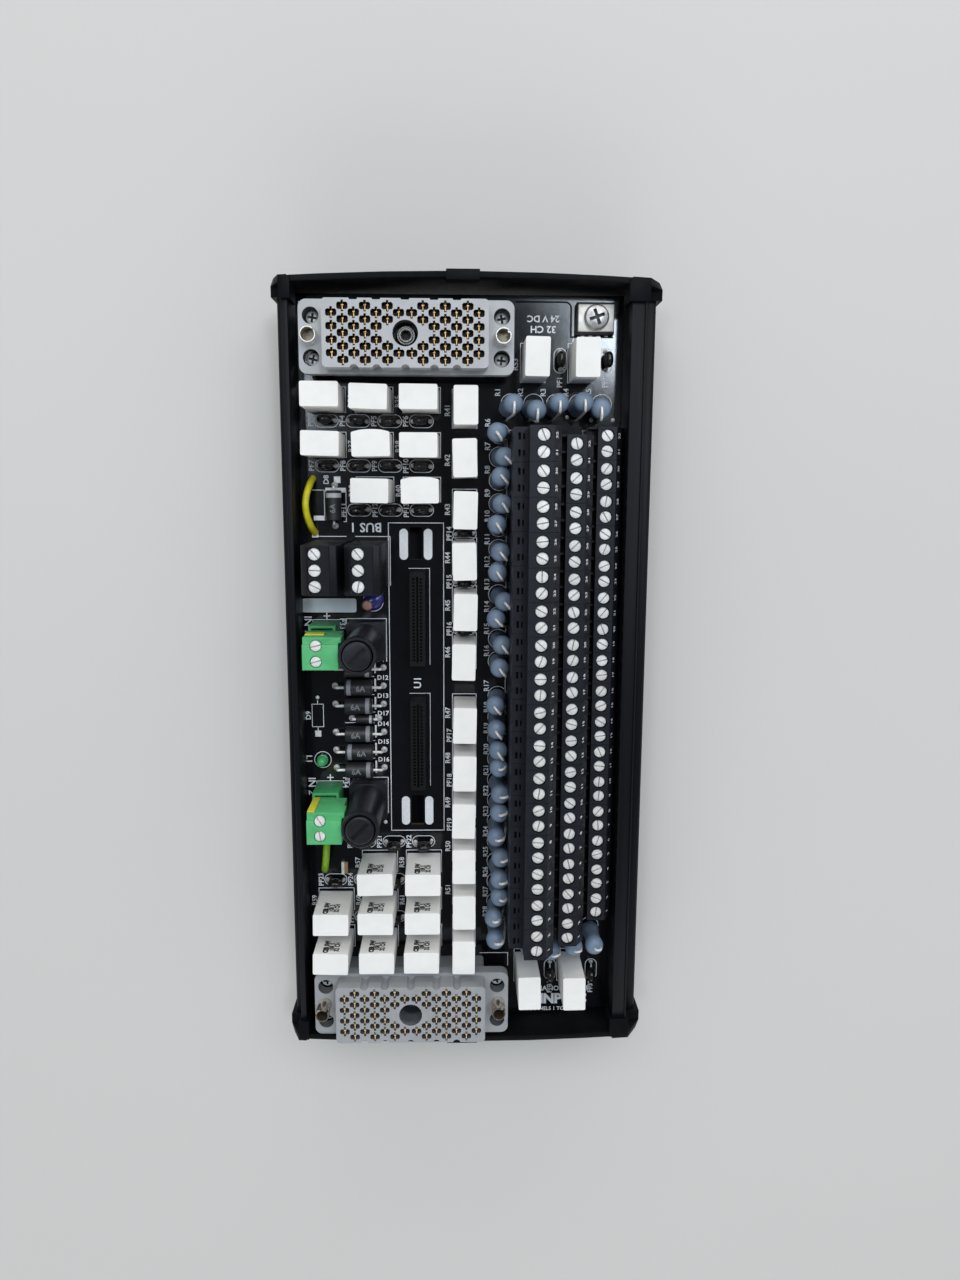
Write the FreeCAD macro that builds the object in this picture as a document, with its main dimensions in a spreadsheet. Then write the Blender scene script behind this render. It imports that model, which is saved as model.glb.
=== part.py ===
import FreeCAD, Part
import math
import os
import Sketcher
from types import SimpleNamespace

# Field termination board: a circuit board with stepped terminals, rack connectors,
# power resistors and fuses, held in a snap-on rail carrier. Millimetres, +Z up.
# The board lies flat, its long side along Y, and the rail it snaps on runs along Y.

SIZES = {
    # Carrier extrusion
    "carrier_length": 256.6,
    "carrier_half_width": 62.0,
    "carrier_base_level": 12.0,
    "carrier_base_thickness": 2.5,
    "rib_height": 6.5,
    "rib_chamfer": 0.8,
    "left_rib_inner": 59.6,
    "right_rib_inner": 58.4,
    "left_rim_outer": 58.8,
    "left_rim_inner": 57.0,
    "right_rim_outer": 57.2,
    "right_rim_inner": 52.4,
    "rim_height": 15.0,
    "rim_bead": 0.6,
    "chamber_wall": 1.6,
    "groove_depth": 1.0,
    "groove_play": 0.2,
    "channel_half_width": 26.0,
    "channel_lip": 1.4,
    "channel_wall": 1.2,
    "channel_depth": 2.4,
    "channel_lip_thickness": 1.0,
    # End plates
    "plate_thickness": 1.85,
    "plate_bow": 2.0,
    "cap_length": 6.9,
    "ear_length": 5.1,
    "ear_corner": 1.6,
    "cap_wall": 0.9,
    "cap_rise": 1.1,
    "cap_depth": 10.0,
    "ear_wall": 1.6,
    "tab_width": 10.7,
    "tab_x": -1.5,
    "tab_thickness": 3.2,
    "tab_rise": 1.0,
    "tab_depth": 6.0,
    # Rail feet and latches
    "foot_y": 92.0,
    "foot_length": 24.0,
    "foot_half_width": 24.2,
    "foot_flange_half_width": 25.7,
    "foot_flange_thickness": 1.2,
    "foot_play": 0.1,
    "foot_seat_level": 6.6,
    "seat_half_width": 13.0,
    "seat_relief": 0.5,
    "rail_half_width": 17.7,
    "rail_slot": 1.4,
    "rail_lip": 2.3,
    "rail_lip_thickness": 1.8,
    "jaw_toe": 4.4,
    "cheek_thickness": 3.2,
    "cheek_start": 18.6,
    "latch_play": 0.35,
    "latch_end": 31.0,
    "latch_floor": 0.6,
    "latch_rib_low": 2.2,
    "latch_rib_height": 1.4,
    "latch_rib_reach": 1.2,
    "latch_slot_width": 6.0,
    "latch_slot_length": 2.2,
    "latch_slot_inset": 2.0,
    "latch_hook_play": 0.2,
    "latch_shoulder": 1.0,
    "latch_key_start": 1.0,
    "latch_key_end": 0.5,
    # Circuit board
    "board_level": 23.0,
    "board_thickness": 1.6,
    "board_width": 110.8,
    "board_length": 256.0,
    "board_x": -2.3,
    "module_slot_x": -17.6,
    "module_slot_y": 48.0,
    "module_slot_shift": -2.4,
    "module_slot_width": 4.4,
    "module_slot_length": 11.0,
    # Rack connectors
    "connector_x": -19.5,
    "upper_connector_y": 111.9,
    "lower_connector_y": -117.3,
    "flange_length": 68.8,
    "flange_width": 23.0,
    "flange_level": 10.0,
    "flange_thickness": 4.5,
    "flange_corner": 1.5,
    "insulator_length": 52.0,
    "insulator_width": 20.8,
    "insulator_height": 22.3,
    "notch_radius": 1.5,
    "notch_inner": 9.0,
    "notch_outer": 16.1,
    "contact_pitch": 3.49,
    "contact_row": 4.04,
    "contact_centre_gap": 4.04,
    "contact_well_length": 3.1,
    "contact_well_width": 1.7,
    "contact_well_depth": 3.0,
    "contact_blade": 0.7,
    "contact_recess": 0.3,
    "jack_radius": 4.0,
    "jack_depth": 8.0,
    "jack_sleeve_radius": 3.0,
    "jack_sleeve_bore": 1.6,
    "jack_sleeve_floor": 1.0,
    "jack_sleeve_recess": 1.6,
    "fixing_x": 30.5,
    "fixing_y": 6.5,
    "fixing_radius": 2.7,
    "fixing_depth": 7.0,
    "fixing_post_radius": 3.4,
    "fixing_screw_radius": 2.3,
    "fixing_screw_height": 1.6,
    "sleeve_x": 30.8,
    "sleeve_radius": 2.4,
    "sleeve_bore": 1.6,
    "sleeve_floor": 1.0,
    "upper_sleeve_height": 5.0,
    "lower_sleeve_height": 8.0,
    # Stepped terminal blocks
    "block_count": 16,
    "block_pitch": 10.712,
    "block_gap": 0.1,
    "first_block_y": 83.1,
    "middle_shift": -1.9,
    "lower_shift": 1.4,
    "pole_pitch": 5.08,
    "pole_inset": 2.8,
    "ledge_x": 14.2,
    "ledge_height": 31.0,
    "step_x": 18.6,
    "tier_rise": 12.9,
    "tier_run": 11.6,
    "lowest_tier_height": 13.2,
    "trench_width": 2.6,
    "trench_depth": 5.5,
    "label_run": 2.8,
    "label_drop": 4.7,
    "tier_end_x": 28.6,
    "entry_width": 3.6,
    "entry_height": 4.6,
    "entry_depth": 5.0,
    "entry_sill": 1.6,
    "screw_radius": 1.95,
    "screw_inset": 5.8,
    "screw_rise": 0.5,
    # Bus terminals
    "bus_y": 38.9,
    "bus_length": 15.7,
    "bus_width": 11.4,
    "bus_height": 35.0,
    "bus_slope_run": 2.2,
    "bus_slope_drop": 2.0,
    "left_bus_x": -46.2,
    "right_bus_x": -32.8,
    "bus_screw_shift": -1.3,
    # Ceramic case resistors
    "ceramic_length": 12.2,
    "ceramic_width": 7.8,
    "ceramic_height": 19.8,
    "ceramic_column_x": -15.4,
    "ceramic_column_pitch": 16.0,
    "upper_ceramic_y": 93.3,
    "upper_ceramic_pitch": 14.9,
    "lower_ceramic_y": -70.3,
    "lower_ceramic_pitch": 14.4,
    "row_ceramic_x": -0.8,
    "row_ceramic_pitch": 16.6,
    "row_ceramic_top_y": 90.5,
    "row_ceramic_low_y": -14.4,
    "edge_ceramic_x": 22.1,
    "edge_ceramic_pitch": 16.0,
    "edge_ceramic_top_y": 105.7,
    "edge_ceramic_low_y": -111.2,
    # Standing wire-ended resistors
    "load_radius": 3.1,
    "load_height": 17.0,
    "load_column_x": 11.0,
    "load_top_y": 82.9,
    "load_top_pitch": 7.85,
    "load_low_y": -8.2,
    "load_low_pitch": 7.72,
    "load_row_y": 91.0,
    "load_row_x": 13.6,
    "load_row_pitch": 7.7,
    "load_foot_y": -95.4,
    "load_foot_x": 22.2,
    "load_foot_pitch": 7.8,
    "wire_width": 0.8,
    "wire_reach": 3.9,
    # Resettable fuses
    "tablet_length": 5.2,
    "tablet_width": 2.8,
    "tablet_height": 6.8,
    "tablet_x": -15.5,
    "tablet_pitch": 10.7,
    "tablet_top_y": 86.8,
    "tablet_low_y": -62.3,
    "tablet_edge_x": 31.3,
    "tablet_edge_pitch": 15.3,
    "tablet_edge_top_y": 107.0,
    "tablet_edge_low_y": -112.6,
    # Diodes
    "diode_radius": 2.8,
    "diode_length": 9.6,
    "diode_x": -37.9,
    "diode_lift": 3.3,
    "diode_span": 17.9,
    "diode_wire": 1.1,
    "diode_upper_y": 2.0,
    "diode_lower_y": -21.3,
    "diode_pitch": 6.55,
    "small_diode_radius": 1.5,
    "small_diode_length": 6.0,
    "small_diode_x": -35.9,
    "small_diode_y": -16.3,
    "small_diode_lift": 0.5,
    "small_wire_reach": 2.2,
    "link_diode_x": -45.2,
    "link_diode_y": 58.5,
    "link_diode_radius": 2.6,
    "link_diode_length": 10.2,
    "link_diode_lift": 0.6,
    "link_diode_wire": 0.8,
    # Fuse holders
    "fuse_x": -34.9,
    "upper_fuse_y": 11.8,
    "lower_fuse_y": -45.7,
    "fuse_base": 13.4,
    "fuse_base_height": 5.0,
    "fuse_radius": 6.0,
    "fuse_height": 33.0,
    "fuse_bore": 5.0,
    "fuse_floor": 3.0,
    "fuse_link_radius": 2.5,
    "fuse_link_length": 20.0,
    "cap_radius": 4.65,
    "cap_body": 7.0,
    "cap_proud": 1.2,
    "cap_slot_width": 1.4,
    "cap_slot_depth": 1.4,
    "cap_slot_length": 7.4,
    "cap_slot_angle": 45.0,
    # Pluggable supply connectors
    "supply_x": -47.05,
    "upper_supply_y": 11.9,
    "lower_supply_y": -46.5,
    "header_x": -48.8,
    "header_width": 9.2,
    "header_length": 13.6,
    "header_height": 13.0,
    "header_wall": 1.0,
    "header_floor": 2.0,
    "pin_width": 1.0,
    "pin_height": 10.0,
    "pin_play": 0.4,
    "pin_end_play": 0.5,
    "plug_width": 11.4,
    "plug_length": 10.4,
    "plug_height": 30.0,
    "plug_play": 0.3,
    "plug_screw_shift": -1.4,
    "plug_screw_radius": 1.8,
    "plug_screw_depth": 2.0,
    "plug_screw_sunk": 0.4,
    "plug_screw_play": 0.2,
    "plug_band_width": 2.2,
    "plug_band_drop": 1.4,
    "plug_lug_width": 0.8,
    "plug_lug_length": 1.8,
    "plug_lug_height": 7.0,
    "plug_entry": 3.6,
    "plug_entry_depth": 4.5,
    "plug_entry_level": 20.0,
    "marker_thickness": 0.4,
    "upper_marker_level": 19.5,
    "upper_marker_length": 6.2,
    "upper_marker_height": 4.6,
    "lower_marker_level": 13.6,
    "lower_marker_length": 2.4,
    "lower_marker_height": 14.6,
    # Module sockets
    "socket_x": -16.9,
    "socket_y": 20.0,
    "socket_low_y": -24.3,
    "socket_width": 5.2,
    "socket_length": 32.0,
    "socket_height": 8.5,
    "socket_slot": 0.9,
    "socket_slot_depth": 2.0,
    "socket_slot_inset": 1.0,
    # Small parts
    "lamp_x": -51.3,
    "lamp_y": -31.5,
    "lamp_radius": 1.8,
    "lamp_height": 5.0,
    "capacitor_x": -31.8,
    "capacitor_y": 26.0,
    "capacitor_radius": 3.4,
    "capacitor_thickness": 3.0,
    "earth_x": 42.5,
    "earth_y": 120.2,
    "earth_length": 12.6,
    "earth_width": 10.4,
    "earth_height": 3.2,
    "earth_plate_length": 11.9,
    "earth_plate_width": 8.8,
    "earth_plate_thickness": 1.4,
    "earth_screw_radius": 4.2,
    "earth_screw_height": 2.4,
    "yellow_wire_radius": 0.9,
    "yellow_upper_x": -52.5,
    "yellow_upper_y": 67.7,
    "yellow_lower_x": -52.2,
    "yellow_lower_y": 49.1,
    "yellow_rise": 6.4,
    "yellow_bulge": -1.9,
    "earth_wire_radius": 1.2,
    "earth_upper_x": -49.9,
    "earth_upper_y": -57.0,
    "earth_lower_x": -51.3,
    "earth_lower_y": -72.7,
    "earth_rise": 8.8,
    "earth_bulge": 0.9,
    "chip_x": -44.1,
    "chip_y": -72.0,
    "chip_length": 2.2,
    "chip_width": 4.4,
    "chip_height": 1.2,
}

# How far a cutting tool runs past the face that it opens
OVER = 1.0
# Share of a wire link's height that stands straight up at each end
WIRE_STUB = 0.4

doc = FreeCAD.newDocument("termination_board")
sheet = doc.addObject("Spreadsheet::Sheet", "dims")
for row, (name, value) in enumerate(SIZES.items(), start=1):
    sheet.set(f"A{row}", name)
    sheet.set(f"B{row}", str(value))
    sheet.setAlias(f"B{row}", name)
doc.recompute()


class Dim:
    """A length together with the sheet expression that gives it."""

    def __init__(self, text, value):
        self.text = text
        self.value = value

    def join(self, sign, other, result):
        return Dim(f"({self.text} {sign} {other.text})", result)

    def __add__(self, other):
        other = dim(other)
        return self.join("+", other, self.value + other.value)

    def __sub__(self, other):
        other = dim(other)
        return self.join("-", other, self.value - other.value)

    def __mul__(self, other):
        other = dim(other)
        return self.join("*", other, self.value * other.value)

    def __truediv__(self, other):
        other = dim(other)
        return self.join("/", other, self.value / other.value)

    def __radd__(self, other):
        return dim(other) + self

    def __rsub__(self, other):
        return dim(other) - self

    def __neg__(self):
        return dim(0) - self


def dim(number):
    """Plain numbers become constant lengths."""
    return number if isinstance(number, Dim) else Dim(repr(float(number)), float(number))


d = SimpleNamespace(**{name: Dim(f"dims.{name}", value) for name, value in SIZES.items()})
board_top = d.board_level + d.board_thickness
NODES = {}


# Helpers that make document objects bound to the sheet

def bind(thing, **lengths):
    for name, length in lengths.items():
        setattr(thing, name, dim(length).value)
        thing.setExpression(name, dim(length).text)


def place(thing, x, y, z, axis=(0, 0, 1), angle=0):
    thing.Placement = FreeCAD.Placement(
        FreeCAD.Vector(dim(x).value, dim(y).value, dim(z).value),
        FreeCAD.Rotation(FreeCAD.Vector(*axis), angle))
    for name, length in (("x", x), ("y", y), ("z", z)):
        thing.setExpression(f"Placement.Base.{name}", dim(length).text)


def add(kind, name):
    return doc.addObject(kind, name)


def box(name, low, size):
    """A box by its low corner and its size."""
    thing = add("Part::Box", name)
    bind(thing, Length=size[0], Width=size[1], Height=size[2])
    place(thing, *low)
    return thing


def centred_box(name, x, y, z, length, width, height):
    """A box by the middle of its bottom face."""
    return box(name, (x - length / 2, y - width / 2, z), (length, width, height))


def bar(name, x, y, z, radius, length, sides=16, axis="Z"):
    """A many-sided round bar that starts at a point and runs along an axis."""
    thing = add("Part::Prism", name)
    thing.Polygon = sides
    bind(thing, Circumradius=radius, Height=length)
    turn = {"Z": ((0, 0, 1), 180 / sides), "X": ((0, 1, 0), 90), "Y": ((1, 0, 0), -90)}[axis]
    place(thing, x, y, z, *turn)
    return thing


def fuse(name, *things):
    thing = add("Part::MultiFuse", name)
    thing.Shapes = list(things)
    thing.Refine = True
    return thing


def cut(name, base, *tools):
    thing = add("Part::Cut", name)
    thing.Base = base
    thing.Tool = tools[0] if len(tools) == 1 else group(f"{name}_tools", tools)
    thing.Refine = True
    return thing


def group(name, things):
    thing = add("Part::Compound", name)
    thing.Links = list(things)
    return thing


def outline_loop(sketch, outline):
    """A closed run of lines, each corner held by its two sheet lengths."""
    first = sketch.GeometryCount
    count = len(outline)
    corners = [FreeCAD.Vector(dim(x).value, dim(y).value, 0) for x, y in outline]
    for index in range(count):
        sketch.addGeometry(Part.LineSegment(corners[index], corners[(index + 1) % count]))
    for index, (x, y) in enumerate(outline):
        line = first + index
        following = first + (index + 1) % count
        sketch.addConstraint(Sketcher.Constraint("Coincident", line, 2, following, 1))
        for kind, length in (("DistanceX", dim(x)), ("DistanceY", dim(y))):
            number = sketch.addConstraint(Sketcher.Constraint(kind, line, 1, length.value))
            sketch.setExpression(f"Constraints[{number}]", length.text)


def section_body(name, loops, length, y=0):
    """A body padded along Y, evenly about y, from loops drawn in X and Z."""
    body = add("PartDesign::Body", name)
    sketch = body.newObject("Sketcher::SketchObject", f"{name}_section")
    plane = next(f for f in body.Origin.OriginFeatures if f.Role == "XZ_Plane")
    sketch.AttachmentSupport = [(plane, "")]
    sketch.MapMode = "FlatFace"
    for loop in loops:
        outline_loop(sketch, loop)
    pad = body.newObject("PartDesign::Pad", f"{name}_pad")
    pad.Profile = sketch
    pad.SideType = "Symmetric"
    bind(pad, Length=length)
    place(body, 0, y, 0)
    return body


def repeat(name, master, places):
    """Separate copies of one solid, each moved to its place."""
    doc.recompute()
    copies = [master.Shape.translated(FreeCAD.Vector(*(dim(c).value for c in spot))) for spot in places]
    thing = add("Part::Feature", name)
    thing.Shape = Part.makeCompound(copies)
    return thing


def node(name, thing):
    """Name a finished sub-part."""
    thing.Label = name
    NODES[name] = thing
    return thing


def mirrored_y(name, source):
    """The same moulding for the other end of the board."""
    thing = add("Part::Mirroring", name)
    thing.Source = source
    thing.Base = FreeCAD.Vector(0, 0, 0)
    thing.Normal = FreeCAD.Vector(0, 1, 0)
    return thing


# Carrier extrusion: base with a foot channel below, ribbed side walls with a board groove

def make_carrier():
    base = d.carrier_base_level
    floor = base + d.carrier_base_thickness
    rim = board_top + d.rim_height
    rib = board_top + d.rib_height
    groove_top = board_top + d.groove_play
    half = d.carrier_half_width
    lip_low = base - d.channel_depth
    lip_top = lip_low + d.channel_lip_thickness
    lip_in = d.channel_half_width - d.channel_lip
    lip_out = d.channel_half_width + d.channel_wall
    left_wall = [
        (-half, base), (-half, rib - d.rib_chamfer), (-half + d.rib_chamfer, rib), (-d.left_rib_inner, rib),
        (-d.left_rib_inner, floor), (-d.left_rim_outer, floor), (-d.left_rim_outer, rim),
        (-d.left_rim_inner, rim), (-d.left_rim_inner, groove_top),
        (-d.left_rim_inner - d.groove_depth, groove_top),
        (-d.left_rim_inner - d.groove_depth, d.board_level), (-d.left_rim_inner, d.board_level),
        (-d.left_rim_inner, floor)]
    right_wall = [
        (d.right_rim_inner, floor), (d.right_rim_inner, d.board_level),
        (d.right_rim_inner + d.groove_depth, d.board_level), (d.right_rim_inner + d.groove_depth, groove_top),
        (d.right_rim_inner, groove_top), (d.right_rim_inner, rim), (d.right_rim_outer - d.rim_bead, rim),
        (d.right_rim_outer - d.rim_bead, rim + d.rim_bead), (d.right_rim_outer, rim + d.rim_bead),
        (d.right_rim_outer, floor), (d.right_rib_inner, floor), (d.right_rib_inner, rib),
        (half - d.rib_chamfer, rib), (half, rib - d.rib_chamfer), (half, base)]
    channel = [
        (lip_out, base), (lip_out, lip_low), (lip_in, lip_low), (lip_in, lip_top),
        (d.channel_half_width, lip_top), (d.channel_half_width, base),
        (-d.channel_half_width, base), (-d.channel_half_width, lip_top),
        (-lip_in, lip_top), (-lip_in, lip_low), (-lip_out, lip_low), (-lip_out, base)]
    chamber_in = d.right_rim_inner + d.groove_depth + d.rim_bead
    chamber_out = d.right_rim_outer - d.chamber_wall
    chamber = [
        (chamber_in, floor + d.chamber_wall), (chamber_in, rim - d.chamber_wall),
        (chamber_out, rim - d.chamber_wall), (chamber_out, floor + d.chamber_wall)]
    outline = left_wall + right_wall + channel
    node("carrier_profile", section_body("carrier", [outline, chamber], d.carrier_length))


# End plates: a thin bowed plate whose corner caps close over the ends of the walls

def make_end_plates():
    base = d.carrier_base_level
    rim = board_top + d.rim_height
    rib = board_top + d.rib_height
    half = d.carrier_half_width
    end = d.carrier_length / 2
    bow_radius = (half * half + d.plate_bow * d.plate_bow) / (d.plate_bow * 2)
    bow_centre = end + d.plate_bow - bow_radius
    ear_top = rib + d.cap_rise
    cap_top = rim + d.cap_rise
    cap_low = rim - d.cap_depth
    ear_out = half + d.ear_wall
    left_cap_out = d.left_rim_outer + d.cap_wall
    right_cap_out = d.right_rim_outer + d.cap_wall
    drums = []
    for name, radius in (("bow_outer", bow_radius + d.plate_thickness), ("bow_inner", bow_radius)):
        drum = add("Part::Cylinder", name)
        bind(drum, Radius=radius, Height=cap_top - base)
        place(drum, 0, bow_centre, base)
        drums.append(drum)
    reach = d.plate_bow + d.plate_thickness
    face = [
        (-ear_out, base), (-ear_out, ear_top), (-left_cap_out, cap_top), (-d.left_rim_inner, cap_top),
        (-d.left_rim_inner, rim), (d.right_rim_inner, rim), (d.right_rim_inner, cap_top),
        (right_cap_out, cap_top), (ear_out, ear_top), (ear_out, base)]
    sheet_part = add("Part::Common", "bowed_sheet")
    sheet_part.Base = cut("bow_shell", *drums)
    sheet_part.Tool = section_body("plate_face", [face], reach, end + reach / 2)
    outer = end + d.plate_thickness

    def cap(name, x0, x1, z0, z1, length):
        return box(name, (x0, outer - length, z0), (x1 - x0, length, z1 - z0))

    caps = [
        cap("left_cap", -left_cap_out, -d.left_rim_inner + d.cap_wall, cap_low, cap_top, d.cap_length),
        cap("right_cap", d.right_rim_inner - d.cap_wall, right_cap_out, cap_low, cap_top, d.cap_length),
        cap("left_ear", -ear_out, -d.left_rib_inner + d.cap_wall / 2, base, ear_top, d.ear_length),
        cap("right_ear", d.right_rib_inner - d.cap_wall / 2, ear_out, base, ear_top, d.ear_length)]
    walls = [
        ("left_rim_wall", -d.left_rim_outer, -d.left_rim_inner, rim),
        ("left_rib_wall", -half, -d.left_rib_inner, rib),
        ("right_rim_wall", d.right_rim_inner, d.right_rim_outer, rim + d.rim_bead),
        ("right_rib_wall", d.right_rib_inner, half, rib),
        ("base_wall", -half, half, base + d.carrier_base_thickness)]
    wall_run = d.cap_length + OVER
    tools = [
        box(name, (x0, end - wall_run, base - OVER), (x1 - x0, wall_run, z1 - base + OVER))
        for name, x0, x1, z1 in walls]
    tools += [corner_tool("left_corner", -ear_out, outer - d.ear_corner, base, cap_top, 45),
              corner_tool("right_corner", ear_out - d.ear_corner, outer, base, cap_top, -45)]
    tab = box("rim_tab", (d.tab_x - d.tab_width / 2, end + d.plate_bow - d.cap_wall, rim - d.tab_depth),
              (d.tab_width, d.tab_thickness, d.tab_depth + d.tab_rise))
    upper = cut("upper_plate", fuse("plate_blank", sheet_part, tab, *caps), *tools)
    node("upper_end_plate", upper)
    node("lower_end_plate", mirrored_y("lower_plate", upper))


def corner_tool(name, x, y, base, top, angle):
    """A box on the slant that takes the corner off a plate, its inner face through a point."""
    slant = 0.5 ** 0.5
    run = d.ear_corner * 4
    thing = add("Part::Box", name)
    bind(thing, Length=run, Width=run, Height=top - base + OVER * 2)
    side = 1 if angle > 0 else -1
    back = d.ear_corner * slant
    place(thing, x - back, y - back * side, base - OVER, (0, 0, 1), angle)
    return thing


# Rail feet: fixed jaw on one side, guided latch on the other

def make_feet():
    top = d.carrier_base_level - d.foot_play
    flange_low = top - d.foot_flange_thickness
    seat = d.foot_seat_level
    slot_low = seat - d.rail_slot
    lip_low = slot_low - d.rail_lip_thickness
    lip_in = d.rail_half_width - d.rail_lip
    half = d.foot_half_width
    pad = d.seat_half_width
    recess = seat + d.seat_relief
    outline = [
        (-half, 0), (-half + d.jaw_toe, 0), (-lip_in, lip_low), (-lip_in, slot_low),
        (-d.rail_half_width, slot_low), (-d.rail_half_width, recess), (-pad, recess), (-pad, seat),
        (pad, seat), (pad, recess), (d.cheek_start, recess), (d.cheek_start, 0),
        (half, 0), (half, flange_low), (d.foot_flange_half_width, flange_low),
        (d.foot_flange_half_width, top), (-d.foot_flange_half_width, top),
        (-d.foot_flange_half_width, flange_low), (-half, flange_low)]
    guide = d.foot_length - d.cheek_thickness * 2
    rib_slot = d.latch_rib_height + d.latch_play * 2
    rib_reach = d.latch_rib_reach + d.latch_play
    latch_width = guide - d.latch_play * 2
    latch_top = seat - d.latch_play
    latch_slot_top = slot_low + d.latch_hook_play
    latch = [
        (lip_in, lip_low), (d.rail_half_width + d.jaw_toe, d.latch_floor), (d.latch_end, d.latch_floor),
        (d.latch_end, lip_low), (half + d.latch_shoulder, latch_top), (d.rail_half_width, latch_top),
        (d.rail_half_width, latch_slot_top), (lip_in, latch_slot_top)]
    for end, y in (("upper", d.foot_y), ("lower", -d.foot_y)):
        blank = section_body(f"{end}_foot_blank", [outline], d.foot_length, y)
        run = half - d.cheek_start + OVER * 2
        channel = box(f"{end}_latch_channel", (d.cheek_start - OVER, y - guide / 2, -OVER),
                      (run, guide, seat + OVER))
        ribs = box(f"{end}_rib_slots",
                   (d.cheek_start - OVER, y - guide / 2 - rib_reach, d.latch_rib_low - d.latch_play),
                   (run, guide + rib_reach * 2, rib_slot))
        node(f"{end}_rail_foot", cut(f"{end}_foot", blank, fuse(f"{end}_foot_cut", channel, ribs)))
        slider = section_body(f"{end}_latch_blank", [latch], latch_width, y)
        key_x = d.cheek_start + d.latch_key_start
        keys = box(f"{end}_latch_keys", (key_x, y - latch_width / 2 - d.latch_rib_reach, d.latch_rib_low),
                   (half - key_x - d.latch_key_end, latch_width + d.latch_rib_reach * 2, d.latch_rib_height))
        slot_x = d.latch_end - d.latch_slot_inset - d.latch_slot_length
        slot = box(f"{end}_latch_slot", (slot_x, y - d.latch_slot_width / 2, -OVER),
                   (d.latch_slot_length, d.latch_slot_width, seat + OVER * 2))
        node(f"{end}_rail_latch", cut(f"{end}_latch", fuse(f"{end}_latch_solid", slider, keys), slot))


# Circuit board with two openings for the plug-in module's catches

def make_board():
    sheet_blank = centred_box("board_blank", d.board_x, 0, d.board_level, d.board_width, d.board_length,
                              d.board_thickness)
    slots = [
        centred_box(f"module_opening_{side}", d.module_slot_x, d.module_slot_shift + d.module_slot_y * side,
                    d.board_level - OVER, d.module_slot_width, d.module_slot_length,
                    d.board_thickness + OVER * 2)
        for side in (1, -1)]
    node("circuit_board", cut("board", sheet_blank, *slots))


# Rack connectors: flanged mouldings with staggered contact wells

def contact_spots():
    """Contact places about the connector's middle: seven columns a side, four or five deep."""
    spots = []
    for side in (-1, 1):
        for column in range(7):
            x = d.contact_centre_gap / 2 + d.contact_pitch * column
            steps = (-2, -1, 0, 1, 2) if column % 2 else (-1.5, -0.5, 0.5, 1.5)
            if column == 0:
                steps = (-1.5, 1.5)
            if column == 1:
                steps = (-2, -1, 1, 2)
            spots += [(x * side, d.contact_row * step) for step in steps]
    return spots


def make_connector(end, y, sleeve_height):
    x = d.connector_x
    low = board_top
    face = low + d.insulator_height
    flange_top = low + d.flange_level + d.flange_thickness
    plate = centred_box(f"{end}_flange_blank", x, y, low + d.flange_level, d.flange_length, d.flange_width,
                        d.flange_thickness)
    doc.recompute()
    flange = add("Part::Chamfer", f"{end}_flange")
    flange.Base = plate
    upright = [n for n, e in enumerate(plate.Shape.Edges, start=1)
               if abs(e.tangentAt(e.FirstParameter).z) > 0.9]
    flange.Edges = [(n, d.flange_corner.value, d.flange_corner.value) for n in upright]
    insulator = centred_box(f"{end}_insulator", x, y, low, d.insulator_length, d.insulator_width,
                            d.insulator_height)
    corners = [(sx, sy) for sx in (-1, 1) for sy in (-1, 1)]
    posts = [
        bar(f"{end}_post_{n}", x + d.fixing_x * sx, y + d.fixing_y * sy, low, d.fixing_post_radius,
            d.flange_level + OVER, 6)
        for n, (sx, sy) in enumerate(corners)]
    notches = (-d.notch_outer, -d.notch_inner, dim(0), d.notch_inner, d.notch_outer)
    tools = [
        bar(f"{end}_notch_{n}_{side}", x + notch, y + d.insulator_width / 2 * side, flange_top,
            d.notch_radius, d.insulator_height, 6)
        for n, notch in enumerate(notches) for side in (-1, 1)]
    tools += [
        bar(f"{end}_fixing_{n}", x + d.fixing_x * sx, y + d.fixing_y * sy, flange_top - d.fixing_depth,
            d.fixing_radius, d.fixing_depth + OVER, 8)
        for n, (sx, sy) in enumerate(corners)]
    tools.append(bar(f"{end}_jack", x, y, face - d.jack_depth, d.jack_radius, d.jack_depth + OVER, 16))
    well = centred_box(f"{end}_well", x, y, face - d.contact_well_depth, d.contact_well_length,
                       d.contact_well_width, d.contact_well_depth + OVER)
    spots = [(cx, cy, 0) for cx, cy in contact_spots()]
    tools.append(repeat(f"{end}_wells", well, spots))
    moulding = cut(f"{end}_connector", fuse(f"{end}_connector_blank", flange, insulator, *posts), *tools)
    node(f"{end}_rack_connector", moulding)
    blade = bar(f"{end}_blade", x, y, face - d.contact_well_depth, d.contact_blade,
                d.contact_well_depth - d.contact_recess, 3)
    node(f"{end}_connector_contacts", repeat(f"{end}_blades", blade, spots))
    sleeves = []
    for side in (-1, 1):
        tube_x = x + d.sleeve_x * side
        tube = bar(f"{end}_sleeve_{side}", tube_x, y, flange_top, d.sleeve_radius, sleeve_height, 10)
        bore = bar(f"{end}_sleeve_bore_{side}", tube_x, y, flange_top + d.sleeve_floor, d.sleeve_bore,
                   sleeve_height, 8)
        sleeves.append(cut(f"{end}_guide_{side}", tube, bore))
    node(f"{end}_guide_sleeves", group(f"{end}_guides", sleeves))


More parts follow.
